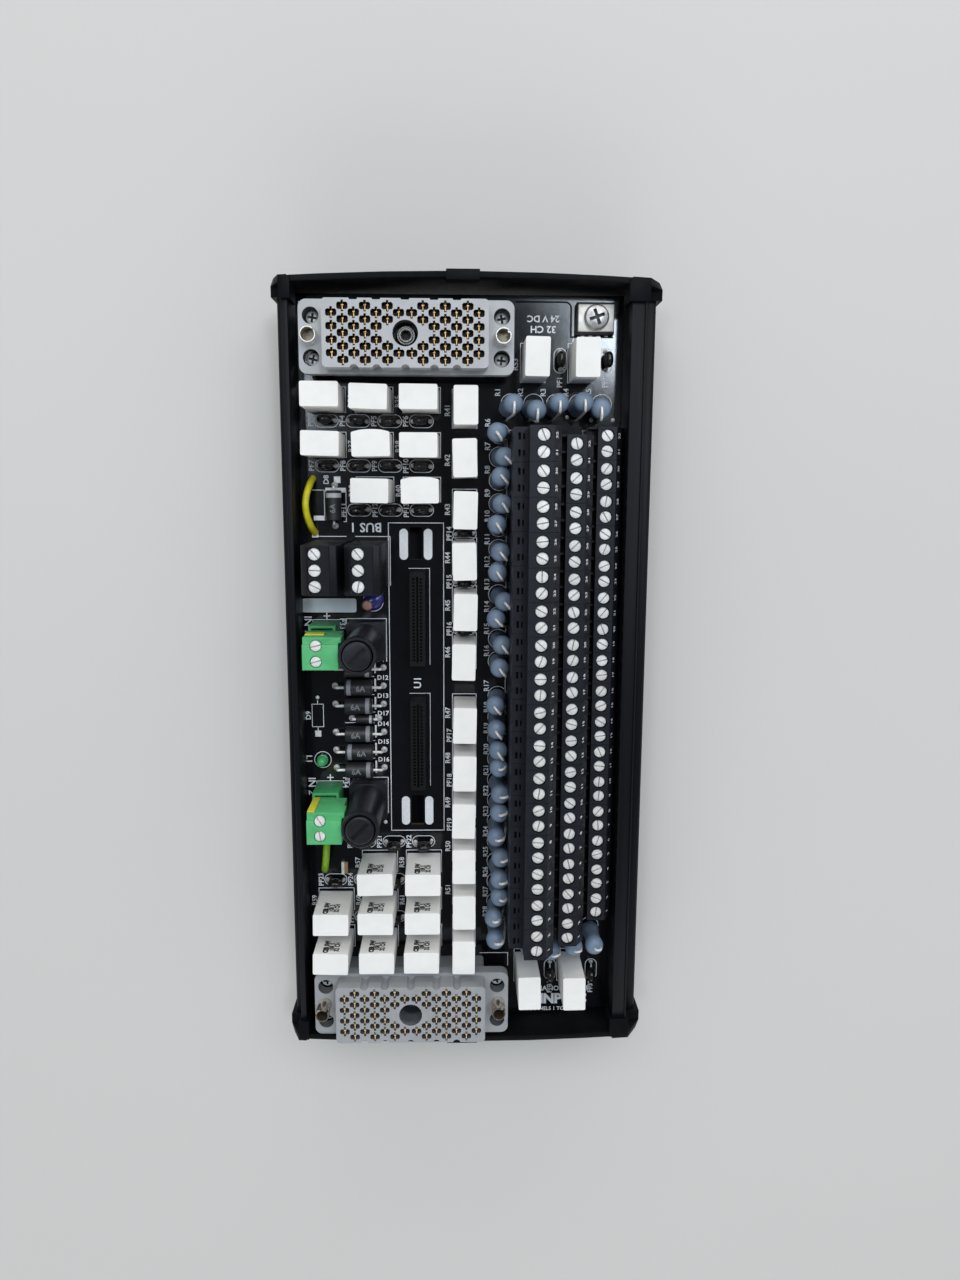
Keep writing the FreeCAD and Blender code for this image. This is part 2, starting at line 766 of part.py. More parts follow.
def make_connector_details():
    flange_top = board_top + d.flange_level + d.flange_thickness
    screw = bar("fixing_screw", 0, 0, flange_top - d.fixing_depth, d.fixing_screw_radius,
                d.fixing_screw_height, 6)
    spots = [
        (d.connector_x + d.fixing_x * sx, y + d.fixing_y * sy, 0)
        for y in (d.upper_connector_y, d.lower_connector_y) for sx in (-1, 1) for sy in (-1, 1)]
    node("connector_screws", repeat("fixing_screws", screw, spots))
    jack_low = board_top + d.insulator_height - d.jack_depth
    shell = bar("jack_shell", d.connector_x, d.upper_connector_y, jack_low, d.jack_sleeve_radius,
                d.jack_depth - d.jack_sleeve_recess, 12)
    bore = bar("jack_bore", d.connector_x, d.upper_connector_y, jack_low + d.jack_sleeve_floor,
               d.jack_sleeve_bore, d.jack_depth, 8)
    node("upper_jack_sleeve", cut("jack_sleeve", shell, bore))


# Stepped terminal blocks: three tiers of two poles, each tier shifted along the row

def make_terminals():
    low = board_top
    tiers = []
    for level, shift in ((2, dim(0)), (1, d.middle_shift), (0, d.lower_shift)):
        top = low + d.lowest_tier_height + d.tier_rise * level
        end_x = d.tier_end_x + d.tier_run * (2 - level)
        start_x = d.step_x if level == 2 else end_x - d.tier_run
        flat_end = end_x - d.label_run
        outline = [(start_x, low), (start_x, top), (flat_end, top), (end_x, top - d.label_drop), (end_x, low)]
        if level == 2:
            ledge = low + d.ledge_height
            outline = [(d.ledge_x, low), (d.ledge_x, ledge), (d.step_x, ledge)] + outline[1:]
        else:
            trench = top - d.trench_depth
            wall = start_x + d.trench_width
            outline = [(start_x, low), (start_x, trench), (wall, trench), (wall, top)] + outline[2:]
        y = d.first_block_y - d.block_pitch / 2 + shift
        blank = section_body(f"tier_{level}", [outline], d.block_pitch - d.block_gap, y)
        tier = blank
        if level:
            sill = top - d.tier_rise + d.entry_sill
            first = d.first_block_y + shift - d.pole_inset
            entries = [
                box(f"entry_{level}_{pole}",
                    (end_x - d.entry_depth, first - d.pole_pitch * pole - d.entry_width / 2, sill),
                    (d.entry_depth + OVER, d.entry_width, d.entry_height))
                for pole in (0, 1)]
            tier = cut(f"tier_{level}_entries", blank, *entries)
        tiers.append(tier)
    block = fuse("terminal_block", *tiers)
    count = int(d.block_count.value)
    rows = [(0, -d.block_pitch * n, 0) for n in range(count)]
    node("terminal_blocks", repeat("terminal_row", block, rows))
    names = {2: "upper_tier_screws", 1: "middle_tier_screws", 0: "lower_tier_screws"}
    for level, shift in ((2, dim(0)), (1, d.middle_shift), (0, d.lower_shift)):
        top = low + d.lowest_tier_height + d.tier_rise * level
        x = d.tier_end_x + d.tier_run * (2 - level) - d.screw_inset
        y = d.first_block_y + shift - d.pole_inset
        screw = bar(f"tier_screw_{level}", x, y, top, d.screw_radius, d.screw_rise, 6)
        spots = [(0, -d.block_pitch * n - d.pole_pitch * pole, 0) for n in range(count) for pole in (0, 1)]
        node(names[level], repeat(f"tier_screws_{level}", screw, spots))


# Bus terminals: two tall three-pole blocks

def make_bus_terminals():
    top = board_top + d.bus_height
    screws = []
    for side, x in (("left", d.left_bus_x), ("right", d.right_bus_x)):
        x0 = x - d.bus_width / 2
        x1 = x + d.bus_width / 2
        outline = [
            (x0, board_top), (x0, top - d.bus_slope_drop), (x0 + d.bus_slope_run, top), (x1, top),
            (x1, board_top)]
        blank = section_body(f"{side}_bus_blank", [outline], d.bus_length, d.bus_y)
        entries = [
            box(f"{side}_bus_entry_{n}",
                (x0 - OVER, d.bus_y + d.pole_pitch * n - d.entry_width / 2, top - d.tier_rise),
                (d.entry_depth + OVER, d.entry_width, d.entry_height))
            for n in (-1, 0, 1)]
        node(f"{side}_bus_terminal", cut(f"{side}_bus", blank, *entries))
        screws += [(x + d.bus_screw_shift, d.bus_y + d.pole_pitch * n, 0) for n in (-1, 0, 1)]
    screw = bar("bus_screw", 0, 0, top, d.screw_radius, d.screw_rise, 6)
    node("bus_terminal_screws", repeat("bus_screws", screw, screws))


# Ceramic case resistors, standing on end in groups

def make_ceramics():
    long, wide, tall = d.ceramic_length, d.ceramic_width, d.ceramic_height
    across = centred_box("ceramic_across", 0, 0, board_top, long, wide, tall)
    along = centred_box("ceramic_along", 0, 0, board_top, wide, long, tall)
    column = [d.ceramic_column_x - d.ceramic_column_pitch * n for n in range(3)]
    upper = [(column[c], d.upper_ceramic_y - d.upper_ceramic_pitch * r, 0)
             for r, used in enumerate((3, 3, 2)) for c in range(used)]
    lower = [(column[c], d.lower_ceramic_y - d.lower_ceramic_pitch * r, 0)
             for r, used in enumerate((2, 3, 3)) for c in range(used)]
    row = [(d.row_ceramic_x, start - d.row_ceramic_pitch * n, 0)
           for start in (d.row_ceramic_top_y, d.row_ceramic_low_y) for n in range(6)]
    edge = [(d.edge_ceramic_x + d.edge_ceramic_pitch * n, y, 0)
            for y in (d.edge_ceramic_top_y, d.edge_ceramic_low_y) for n in range(2)]
    node("upper_ceramic_resistors", repeat("upper_ceramics", across, upper))
    node("lower_ceramic_resistors", repeat("lower_ceramics", across, lower))
    node("row_ceramic_resistors", repeat("row_ceramics", along, row))
    node("edge_ceramic_resistors", repeat("edge_ceramics", along, edge))


# Standing wire-ended resistors, each with its top wire bent back down to the board

def load_spots():
    """Places of the standing resistors: a long column, a row above the terminals and a row below them."""
    column = [(d.load_column_x, start - pitch * n)
              for start, pitch, count in (
                  (d.load_top_y, d.load_top_pitch, 11), (d.load_low_y, d.load_low_pitch, 12))
              for n in range(count)]
    row = [(d.load_row_x + d.load_row_pitch * n, d.load_row_y) for n in range(5)]
    foot = [(d.load_foot_x + d.load_foot_pitch * n, d.load_foot_y) for n in range(4)]
    return column + row + foot


def make_load_resistors():
    spots = [(x, y, 0) for x, y in load_spots()]
    body = bar("load_body", 0, 0, board_top, d.load_radius, d.load_height, 6)
    node("load_resistors", repeat("load_bodies", body, spots))
    top = board_top + d.load_height
    half = d.wire_width / 2
    reach = d.wire_reach
    wire = add("PartDesign::Body", "load_wire")
    sketch = wire.newObject("Sketcher::SketchObject", "load_wire_section")
    plane = next(f for f in wire.Origin.OriginFeatures if f.Role == "YZ_Plane")
    sketch.AttachmentSupport = [(plane, "")]
    sketch.MapMode = "FlatFace"
    outline_loop(sketch, [
        (half, top), (half, top + d.wire_width), (-reach - half, top + d.wire_width),
        (-reach - half, board_top), (-reach + half, board_top), (-reach + half, top)])
    pad = wire.newObject("PartDesign::Pad", "load_wire_pad")
    pad.Profile = sketch
    pad.SideType = "Symmetric"
    bind(pad, Length=d.wire_width)
    node("load_resistor_wires", repeat("load_wires", wire, spots))


# Resettable fuses: small standing tablets beside the ceramic resistors

def make_tablets():
    across = centred_box("tablet_across", 0, 0, board_top, d.tablet_length, d.tablet_width, d.tablet_height)
    along = centred_box("tablet_along", 0, 0, board_top, d.tablet_width, d.tablet_length, d.tablet_height)
    field = [(d.tablet_x - d.tablet_pitch * c, d.tablet_top_y - d.upper_ceramic_pitch * r, 0)
             for r, used in enumerate((4, 4, 3)) for c in range(used)]
    field += [(d.tablet_x - d.tablet_pitch * c, d.tablet_low_y - d.lower_ceramic_pitch * r, 0)
              for r, used in enumerate((3, 4, 4)) for c in range(used)]
    between = d.row_ceramic_pitch / 2
    field += [(d.row_ceramic_x, start - between - d.row_ceramic_pitch * n, 0)
              for start, slots in ((d.row_ceramic_top_y, (2, 3, 4)), (d.row_ceramic_low_y, (0, 1, 2)))
              for n in slots]
    edge = [(d.tablet_edge_x + d.tablet_edge_pitch * n, y, 0)
            for y in (d.tablet_edge_top_y, d.tablet_edge_low_y) for n in range(2)]
    tablets = [repeat("tablets_across", across, field), repeat("tablets_along", along, edge)]
    node("resettable_fuses", group("tablets", tablets))


# Diodes, lying on their wires

def make_diodes():
    level = board_top + d.diode_lift
    rows = [start - d.diode_pitch * n for start in (d.diode_upper_y, d.diode_lower_y) for n in range(3)]
    half = d.diode_length / 2
    body = bar("diode_body", d.diode_x - half, 0, level, d.diode_radius, d.diode_length, 10, "X")
    node("power_diodes", repeat("diode_bodies", body, [(0, y, 0) for y in rows]))
    small_half = d.small_diode_length / 2
    small_level = board_top + d.small_diode_radius + d.small_diode_lift
    node("small_diode", bar("small_diode_body", d.small_diode_x - small_half, d.small_diode_y, small_level,
                            d.small_diode_radius, d.small_diode_length, 8, "X"))
    link_half = d.link_diode_length / 2
    link_level = board_top + d.link_diode_radius + d.link_diode_lift
    node("link_diode", bar("link_diode_body", d.link_diode_x, d.link_diode_y - link_half, link_level,
                           d.link_diode_radius, d.link_diode_length, 8, "Y"))
    wires = []
    for y in rows:
        wires += wire_pair(f"diode_{len(wires)}", d.diode_x, y, half, d.diode_span / 2, level)
    small_reach = small_half + d.small_wire_reach
    wires += wire_pair("small_diode_wire", d.small_diode_x, d.small_diode_y, small_half, small_reach,
                       small_level)
    for side in (-1, 1):
        end = d.link_diode_y + link_half * side
        low_y = end if side > 0 else end - d.small_wire_reach
        wires.append(box(
            f"link_wire_{side}", (d.link_diode_x - d.link_diode_wire / 2, low_y, board_top),
            (d.link_diode_wire, d.small_wire_reach, link_level - board_top + d.link_diode_wire / 2)))
    node("diode_wires", group("diode_wire_group", wires))


def wire_pair(name, x, y, body_half, reach, level):
    """Two bent wires of a lying diode, from the body's ends down to the board."""
    width = d.diode_wire
    pair = []
    for side in (-1, 1):
        near = x + body_half * side
        far = x + reach * side
        left, right = (far, near) if side < 0 else (near, far)
        span = box(f"{name}_span_{side}", (left, y - width / 2, level - width / 2),
                   (right - left, width, width))
        leg_x = far if side < 0 else far - width
        leg = box(f"{name}_leg_{side}", (leg_x, y - width / 2, board_top), (width, width, level - board_top))
        pair.append(fuse(f"{name}_{side}", span, leg))
    return pair


# Fuse holders: upright barrels with a quarter-turn cap and a glass fuse inside

def make_fuses():
    x = d.fuse_x
    floor = board_top + d.fuse_floor
    cap_top = board_top + d.fuse_height + d.cap_proud
    slant = 0.5 ** 0.5
    for end, y in (("upper", d.upper_fuse_y), ("lower", d.lower_fuse_y)):
        foot = centred_box(f"{end}_fuse_base", x, y, board_top, d.fuse_base, d.fuse_base, d.fuse_base_height)
        tube = bar(f"{end}_fuse_tube", x, y, board_top, d.fuse_radius, d.fuse_height, 20)
        bore = bar(f"{end}_fuse_bore", x, y, floor, d.fuse_bore, d.fuse_height, 20)
        node(f"{end}_fuse_holder", cut(f"{end}_fuse", fuse(f"{end}_fuse_blank", foot, tube), bore))
        glass = bar(f"{end}_fuse_glass", x, y, floor, d.fuse_link_radius, d.fuse_link_length, 10)
        node(f"{end}_fuse_link", glass)
        disc = add("Part::Cylinder", f"{end}_cap_disc")
        bind(disc, Radius=d.cap_radius, Height=d.cap_body)
        place(disc, x, y, cap_top - d.cap_body)
        slot = add("Part::Box", f"{end}_cap_slot")
        bind(slot, Length=d.cap_slot_length, Width=d.cap_slot_width, Height=d.cap_slot_depth + OVER)
        place(slot, x - (d.cap_slot_length - d.cap_slot_width) * (slant / 2),
              y - (d.cap_slot_length + d.cap_slot_width) * (slant / 2), cap_top - d.cap_slot_depth,
              (0, 0, 1), d.cap_slot_angle.value)
        node(f"{end}_fuse_cap", cut(f"{end}_cap", disc, slot))


# Pluggable supply connectors: shrouded header, pins, and a plug that lifts off

def make_plug(end, y, pole_y, insert_width):
    """A plug whose tail fits the header's cavity, with screw wells above and wire entries at the side."""
    low = board_top
    tail_low = low + d.header_floor + d.plug_play
    head_low = low + d.header_height + d.plug_play
    top = low + d.plug_height
    x0 = d.supply_x - d.plug_width / 2
    tail = centred_box(f"{end}_plug_tail", d.header_x, y, tail_low, insert_width, d.plug_length,
                       head_low - tail_low + OVER)
    head = centred_box(f"{end}_plug_head", d.supply_x, y, head_low, d.plug_width, d.plug_length,
                       top - head_low)
    back = y + d.plug_length / 2
    band_top = top - d.plug_band_drop
    lug = box(f"{end}_plug_lug", (x0 + d.plug_width, back - d.plug_lug_length, band_top - d.plug_lug_height),
              (d.plug_lug_width, d.plug_lug_length, d.plug_lug_height))
    band = box(f"{end}_plug_band", (x0 - OVER, back - d.plug_band_width, band_top),
               (d.plug_width + OVER * 2, d.plug_band_width + OVER, d.plug_band_drop + OVER))
    tools = [band]
    socket = d.pin_width + d.pin_play * 2
    screw_x = d.supply_x + d.plug_screw_shift
    for n, py in enumerate(pole_y):
        tools.append(centred_box(f"{end}_socket_{n}", d.header_x, py, tail_low - OVER, socket, socket,
                                 d.pin_height + d.pin_end_play))
        tools.append(bar(f"{end}_screw_well_{n}", screw_x, py, top - d.plug_screw_depth,
                         d.plug_screw_radius + d.plug_screw_play, d.plug_screw_depth + OVER, 12))
        tools.append(box(f"{end}_plug_entry_{n}",
                         (x0 - OVER, py - d.plug_entry / 2, low + d.plug_entry_level),
                         (d.plug_entry_depth + OVER, d.plug_entry, d.plug_entry)))
    node(f"{end}_supply_plug", cut(f"{end}_plug", fuse(f"{end}_plug_blank", tail, head, lug), *tools))
    screws = [
        bar(f"{end}_plug_screw_{n}", screw_x, py, top - d.plug_screw_depth, d.plug_screw_radius,
            d.plug_screw_depth - d.plug_screw_sunk, 12)
        for n, py in enumerate(pole_y)]
    node(f"{end}_plug_screws", group(f"{end}_plug_screw_group", screws))


def make_supplies():
    low = board_top
    x = d.header_x
    inner_width = d.header_width - d.header_wall * 2
    pins = []
    for end, y in (("upper", d.upper_supply_y), ("lower", d.lower_supply_y)):
        shroud = centred_box(f"{end}_shroud", x, y, low, d.header_width, d.header_length, d.header_height)
        cavity = centred_box(f"{end}_cavity", x, y, low + d.header_floor, inner_width,
                             d.header_length - d.header_wall * 2, d.header_height)
        node(f"{end}_supply_header", cut(f"{end}_header", shroud, cavity))
        pole_y = [y + d.pole_pitch * side / 2 for side in (1, -1)]
        pins += [
            centred_box(f"{end}_pin_{n}", x, py, low + d.header_floor, d.pin_width, d.pin_width,
                        d.pin_height - d.header_floor)
            for n, py in enumerate(pole_y)]
        make_plug(end, y, pole_y, inner_width - d.plug_play * 2)
    node("supply_pins", group("supply_pin_group", pins))
    side = d.supply_x - d.plug_width / 2
    node("upper_plug_marker", box(
        "upper_marker", (side, d.upper_supply_y + d.plug_length / 2, low + d.upper_marker_level),
        (d.upper_marker_length, d.marker_thickness, d.upper_marker_height)))
    node("lower_plug_marker", box(
        "lower_marker", (side, d.lower_supply_y + d.plug_length / 2, low + d.lower_marker_level),
        (d.lower_marker_length, d.marker_thickness, d.lower_marker_height)))


# Sockets for the plug-in module

def make_sockets():
    for end, y in (("upper", d.socket_y), ("lower", d.socket_low_y)):
        strip = centred_box(f"{end}_strip", d.socket_x, y, board_top, d.socket_width, d.socket_length,
                            d.socket_height)
        slot_low = board_top + d.socket_height - d.socket_slot_depth
        slots = [
            centred_box(f"{end}_slot_{side}", d.socket_x + d.socket_width / 4 * side, y, slot_low,
                        d.socket_slot, d.socket_length - d.socket_slot_inset * 2, d.socket_slot_depth + OVER)
            for side in (-1, 1)]
        node(f"{end}_module_socket", cut(f"{end}_socket_strip", strip, *slots))


# Lamp, capacitor, earth clamp, wire links and a chip part

def arched_wire(name, start, finish, radius, rise, bulge):
    """A sleeved wire that arches over from board to board, bulging to one side."""
    steps = 8
    top = board_top.value
    height = rise.value
    points = [FreeCAD.Vector(start[0].value, start[1].value, top)]
    for n in range(steps + 1):
        along = n / steps
        swell = math.sin(math.pi * along)
        x = start[0].value + (finish[0] - start[0]).value * along + bulge.value * swell
        y = start[1].value + (finish[1] - start[1]).value * along
        points.append(FreeCAD.Vector(x, y, top + height * (WIRE_STUB + (1 - WIRE_STUB) * swell)))
    points.append(FreeCAD.Vector(finish[0].value, finish[1].value, top))
    ring = Part.makePolygon([
        points[0] + FreeCAD.Vector(radius.value * math.cos(turn), radius.value * math.sin(turn), 0)
        for turn in (math.pi / 3 * side for side in range(7))])
    thing = add("Part::Feature", name)
    right_corners = 1
    thing.Shape = Part.makePolygon(points).makePipeShell([ring], True, False, right_corners)
    return thing


def make_small_parts():
    low = board_top
    node("status_lamp", bar("lamp", d.lamp_x, d.lamp_y, low, d.lamp_radius, d.lamp_height, 16))
    node("dipped_capacitor", bar("capacitor", d.capacitor_x, d.capacitor_y, low, d.capacitor_radius,
                                 d.capacitor_thickness, 16))
    node("earth_clamp", centred_box("earth_cage", d.earth_x, d.earth_y, low, d.earth_length, d.earth_width,
                                    d.earth_height))
    plate_low = low + d.earth_height
    plate = centred_box("earth_plate", d.earth_x, d.earth_y, plate_low, d.earth_plate_length,
                        d.earth_plate_width, d.earth_plate_thickness)
    node("earth_clamp_plate", plate)
    node("earth_screw", bar("earth_screw_head", d.earth_x, d.earth_y, plate_low + d.earth_plate_thickness,
                            d.earth_screw_radius, d.earth_screw_height, 16))
    chip = centred_box("chip", d.chip_x, d.chip_y, low, d.chip_length, d.chip_width, d.chip_height)
    node("chip_resistor", chip)
    node("yellow_wire_link", arched_wire(
        "yellow_link", (d.yellow_upper_x, d.yellow_upper_y), (d.yellow_lower_x, d.yellow_lower_y),
        d.yellow_wire_radius, d.yellow_rise, d.yellow_bulge))
    node("earth_wire_link", arched_wire(
        "earth_link", (d.earth_upper_x, d.earth_upper_y), (d.earth_lower_x, d.earth_lower_y),
        d.earth_wire_radius, d.earth_rise, d.earth_bulge))


def check_document():
    """Every object has recomputed, and every sub-part is a valid solid."""
    doc.recompute()
    for thing in doc.Objects:
        bad = [state for state in thing.State if state in ("Invalid", "Error")]
        if bad:
            raise RuntimeError(f"{thing.Name} is {bad}")
    for name, thing in NODES.items():
        shape = thing.Shape
        if shape.isNull() or not shape.isValid() or not shape.Solids:
            raise RuntimeError(f"{name} has no valid solid")


def write_parts():
    os.makedirs("parts", exist_ok=True)
    for name, thing in NODES.items():
        thing.Shape.exportStep(os.path.join("parts", f"{name}.step"))
        print(name, len(thing.Shape.Solids), "solids", round(thing.Shape.Volume, 1), "mm3")


make_carrier()
make_end_plates()
make_feet()
make_board()
make_connector("upper", d.upper_connector_y, d.upper_sleeve_height)
make_connector("lower", d.lower_connector_y, d.lower_sleeve_height)
make_connector_details()
make_terminals()
make_bus_terminals()
make_ceramics()
make_load_resistors()
make_tablets()
make_diodes()
make_fuses()
make_supplies()
make_sockets()
make_small_parts()
check_document()
write_parts()
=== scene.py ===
import math
import random

import bmesh
import bpy
from mathutils import Matrix, Vector


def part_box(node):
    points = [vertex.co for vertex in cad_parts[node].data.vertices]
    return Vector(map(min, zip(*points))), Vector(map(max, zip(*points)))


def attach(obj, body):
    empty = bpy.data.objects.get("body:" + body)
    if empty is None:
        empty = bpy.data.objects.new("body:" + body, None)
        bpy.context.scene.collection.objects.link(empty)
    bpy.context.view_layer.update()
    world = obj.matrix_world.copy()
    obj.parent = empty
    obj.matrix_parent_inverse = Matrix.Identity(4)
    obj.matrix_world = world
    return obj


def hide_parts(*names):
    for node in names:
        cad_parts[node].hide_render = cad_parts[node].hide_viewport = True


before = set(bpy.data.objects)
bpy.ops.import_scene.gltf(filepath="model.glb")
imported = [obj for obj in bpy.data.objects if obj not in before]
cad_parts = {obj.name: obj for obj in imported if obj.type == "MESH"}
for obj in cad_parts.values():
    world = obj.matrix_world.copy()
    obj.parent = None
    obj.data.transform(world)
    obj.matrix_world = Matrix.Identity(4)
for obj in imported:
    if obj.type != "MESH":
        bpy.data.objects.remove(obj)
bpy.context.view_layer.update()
scene = bpy.context.scene
random.seed(11)

# Pieces are modelled in millimetres in the CAD frame and scaled to metres when they are finished.
MM = 0.001
# Corners this near are one, and faces that meet at less than these angles are flat or smooth.
WELD = 1e-3
FLAT = math.radians(1)
CREASE = math.radians(35)
STILL = Matrix.Identity(4)
QUARTER = math.pi / 2
SIDES = (-1, 1)
ENDS = ("upper", "lower")
BOARD_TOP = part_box("circuit_board")[1].z / MM
# How far a cutting shape passes the face that it opens.
PAST = 1.0


# Reading the frame

def box_mm(node):
    """Lowest corner, highest corner and middle of a CAD node."""
    low, high = (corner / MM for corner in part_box(node))
    return low, high, (low + high) / 2


def cad_copy(node):
    """A welded copy of a CAD node's mesh in millimetres, with its flat faces made whole."""
    bm = bmesh.new()
    bm.from_mesh(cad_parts[node].data)
    bmesh.ops.scale(bm, vec=(1 / MM,) * 3, verts=bm.verts[:])
    bmesh.ops.remove_doubles(bm, verts=bm.verts[:], dist=WELD)
    bmesh.ops.dissolve_limit(bm, angle_limit=FLAT, verts=bm.verts[:], edges=bm.edges[:])
    return bm


def solids(node):
    """Corner points of each separate solid of a CAD node."""
    bm = cad_copy(node)
    seen = set()
    found = []
    for vert in bm.verts:
        if vert in seen:
            continue
        stack = [vert]
        seen.add(vert)
        corners = []
        while stack:
            here = stack.pop()
            corners.append(here.co.copy())
            for edge in here.link_edges:
                other = edge.other_vert(here)
                if other not in seen:
                    seen.add(other)
                    stack.append(other)
        found.append(corners)
    bm.free()
    return found


def islands(node):
    """Lowest corner, highest corner and middle of each solid's box, from the top of the board down."""
    boxes = []
    for corners in solids(node):
        low, high = Vector(map(min, *corners)), Vector(map(max, *corners))
        boxes.append((low, high, (low + high) / 2))
    return sorted(boxes, key=lambda box: (-round(box[0].y, 1), round(box[0].x, 1)))


def middles(node):
    """Middle of each solid of a CAD node, true also for prisms with few sides."""
    return [sum(corners, Vector()) / len(corners) for corners in solids(node)]


# Outlines and places

def rectangle(x0, y0, x1, y1):
    return [(x0, y0), (x1, y0), (x1, y1), (x0, y1)]


def rounded_rectangle(width, length, radius, steps, centre=(0, 0)):
    points = []
    for sx, sy, start in ((1, 1, 0), (-1, 1, 90), (-1, -1, 180), (1, -1, 270)):
        for n in range(steps + 1):
            angle = math.radians(start + 90 * n / steps)
            points.append((centre[0] + sx * (width / 2 - radius) + radius * math.cos(angle),
                           centre[1] + sy * (length / 2 - radius) + radius * math.sin(angle)))
    return points


def angles(steps):
    """Angles of even steps round a circle."""
    return [2 * math.pi * n / steps for n in range(steps)]


def circle(radius, steps, centre):
    return [(centre[0] + radius * math.cos(a), centre[1] + radius * math.sin(a)) for a in angles(steps)]


def smooth_line(corners, steps):
    """Points of a soft curve that passes through a few given points."""
    corners = [Vector(c) for c in corners]
    ends = [corners[0] * 2 - corners[1]] + corners + [corners[-1] * 2 - corners[-2]]
    line = []
    for a, b, c, d in zip(ends, ends[1:], ends[2:], ends[3:]):
        for n in range(steps):
            t = n / steps
            line.append(0.5 * (2 * b + (c - a) * t + (2 * a - 5 * b + 4 * c - d) * t ** 2
                               + (3 * b - a - 3 * c + d) * t ** 3))
    return line + [corners[-1]]


def at(x, y, z=0, turn=0):
    return Matrix.Translation((x, y, z)) @ Matrix.Rotation(turn, 4, "Z")


def over(spot, z=0, turn=0):
    """A place on the upright line through a spot."""
    return at(spot.x, spot.y, z, turn)


def tilted(most):
    """A small chance lean about both level axes."""
    return (Matrix.Rotation(random.uniform(-most, most), 4, "X")
            @ Matrix.Rotation(random.uniform(-most, most), 4, "Y"))


# Mesh building

# Least angle, in degrees, of the edges that are rounded when the facets of a curve are left alone.
SQUARE = 60


def shade(faces, index):
    """Give faces the material at a place in their piece's list."""
    for face in faces:
        face.material_index = index


def paint(bm, index, test):
    """Shade the faces whose middle and normal pass a test."""
    shade([face for face in bm.faces if test(face.calc_center_median(), face.normal)], index)


def add_prism(bm, outline, low, high, turn=STILL, index=0):
    """A closed prism of an outline drawn in X and Y, from low to high in Z."""
    lower, upper = ([bm.verts.new(turn @ Vector((x, y, z))) for x, y in outline] for z in (low, high))
    faces = [bm.faces.new(lower[::-1]), bm.faces.new(upper)]
    count = len(outline)
    for n in range(count):
        m = (n + 1) % count
        faces.append(bm.faces.new((lower[n], lower[m], upper[m], upper[n])))
    shade(faces, index)
    return bm


def add_box(bm, low, high, turn=STILL, index=0):
    return add_prism(bm, rectangle(low[0], low[1], high[0], high[1]), low[2], high[2], turn, index)


def add_well(bm, radius, sides, spot, top, depth):
    """A round cutter that opens a level face."""
    return add_prism(bm, circle(radius, sides, spot), top - depth, top + PAST)


def add_slot(bm, x, y, half, top, depth, turn=STILL):
    """A cutter with straight sides that opens a level face."""
    return add_box(bm, (x - half[0], y - half[1], top - depth), (x + half[0], y + half[1], top + PAST), turn)


def add_skin(bm, rings, index):
    """A closed skin over rings of corners, where the ring at an end may be a single point."""
    faces = []
    for lower, upper in zip(rings, rings[1:]):
        count = max(len(lower), len(upper))
        for n in range(count):
            m = (n + 1) % count
            if len(lower) == 1:
                corners = (lower[0], upper[m], upper[n])
            elif len(upper) == 1:
                corners = (lower[n], lower[m], upper[0])
            else:
                corners = (lower[n], lower[m], upper[m], upper[n])
            faces.append(bm.faces.new(corners))
    for ring in (rings[0][::-1], rings[-1]):
        if len(ring) > 1:
            faces.append(bm.faces.new(ring))
    shade(faces, index)
    return bm


def add_lathe(bm, profile, segments, turn=STILL, index=0):
    """A turned solid: the profile holds radius and height from the bottom up, closed at both ends."""
    rings = []
    for radius, height in profile:
        ring = circle(radius, segments, (0, 0)) if radius else [(0, 0)]
        rings.append([bm.verts.new(turn @ Vector((x, y, height))) for x, y in ring])
    return add_skin(bm, rings, index)


def add_tube(bm, points, radius, sides, index=0):
    """A round tube along a line of points, closed at both ends."""
    points = [Vector(p) for p in points]
    directions = [(after - before).normalized()
                  for before, after in zip(points[:1] + points, points[1:] + points[-1:])]
    side = directions[0].orthogonal().normalized()
    rings = []
    for point, direction in zip(points, directions):
        side = (side - direction * side.dot(direction)).normalized()
        across = direction.cross(side)
        rings.append([bm.verts.new(point + radius * (math.cos(a) * side + math.sin(a) * across))
                      for a in angles(sides)])
    return add_skin(bm, rings, index)


def bevel(bm, width, segments=2, angle=30):
    """Round the edges that turn by more than an angle."""
    edges = [e for e in bm.edges if e.is_manifold and e.calc_face_angle(0) > math.radians(angle)]
    bmesh.ops.bevel(bm, geom=edges, offset=width, offset_type="OFFSET", segments=segments, profile=0.5,
                    affect="EDGES", clamp_overlap=True)
    return bm


def as_mesh(bm, name="part"):
    """The mesh of a working mesh, which is used up."""
    mesh = bpy.data.meshes.new(name)
    bm.to_mesh(mesh)
    bm.free()
    return mesh


def add_object(name, data):
    thing = bpy.data.objects.new(name, data)
    scene.collection.objects.link(thing)
    return thing


def add_mesh(bm, mesh, place):
    """Put a copy of a mesh into a working mesh, and give its faces."""
    first_vert, first_face = len(bm.verts), len(bm.faces)
    bm.from_mesh(mesh)
    bm.verts.ensure_lookup_table()
    bm.faces.ensure_lookup_table()
    bmesh.ops.transform(bm, matrix=place, verts=bm.verts[first_vert:])
    return bm.faces[first_face:]


def carve(bm, cutter):
    """The first mesh with the second cut out of it."""
    things = []
    for part in (bm, cutter):
        bmesh.ops.recalc_face_normals(part, faces=part.faces[:])
        things.append(add_object("carving", as_mesh(part)))
    target, tool = things
    cut = target.modifiers.new("cut", "BOOLEAN")
    cut.operation = "DIFFERENCE"
    cut.solver = "EXACT"
    cut.object = tool
    graph = bpy.context.evaluated_depsgraph_get()
    meshes = [bpy.data.meshes.new_from_object(target.evaluated_get(graph)), target.data, tool.data]
    result = bmesh.new()
    result.from_mesh(meshes[0])
    for thing in things:
        bpy.data.objects.remove(thing)
    for mesh in meshes:
        bpy.data.meshes.remove(mesh)
    return result


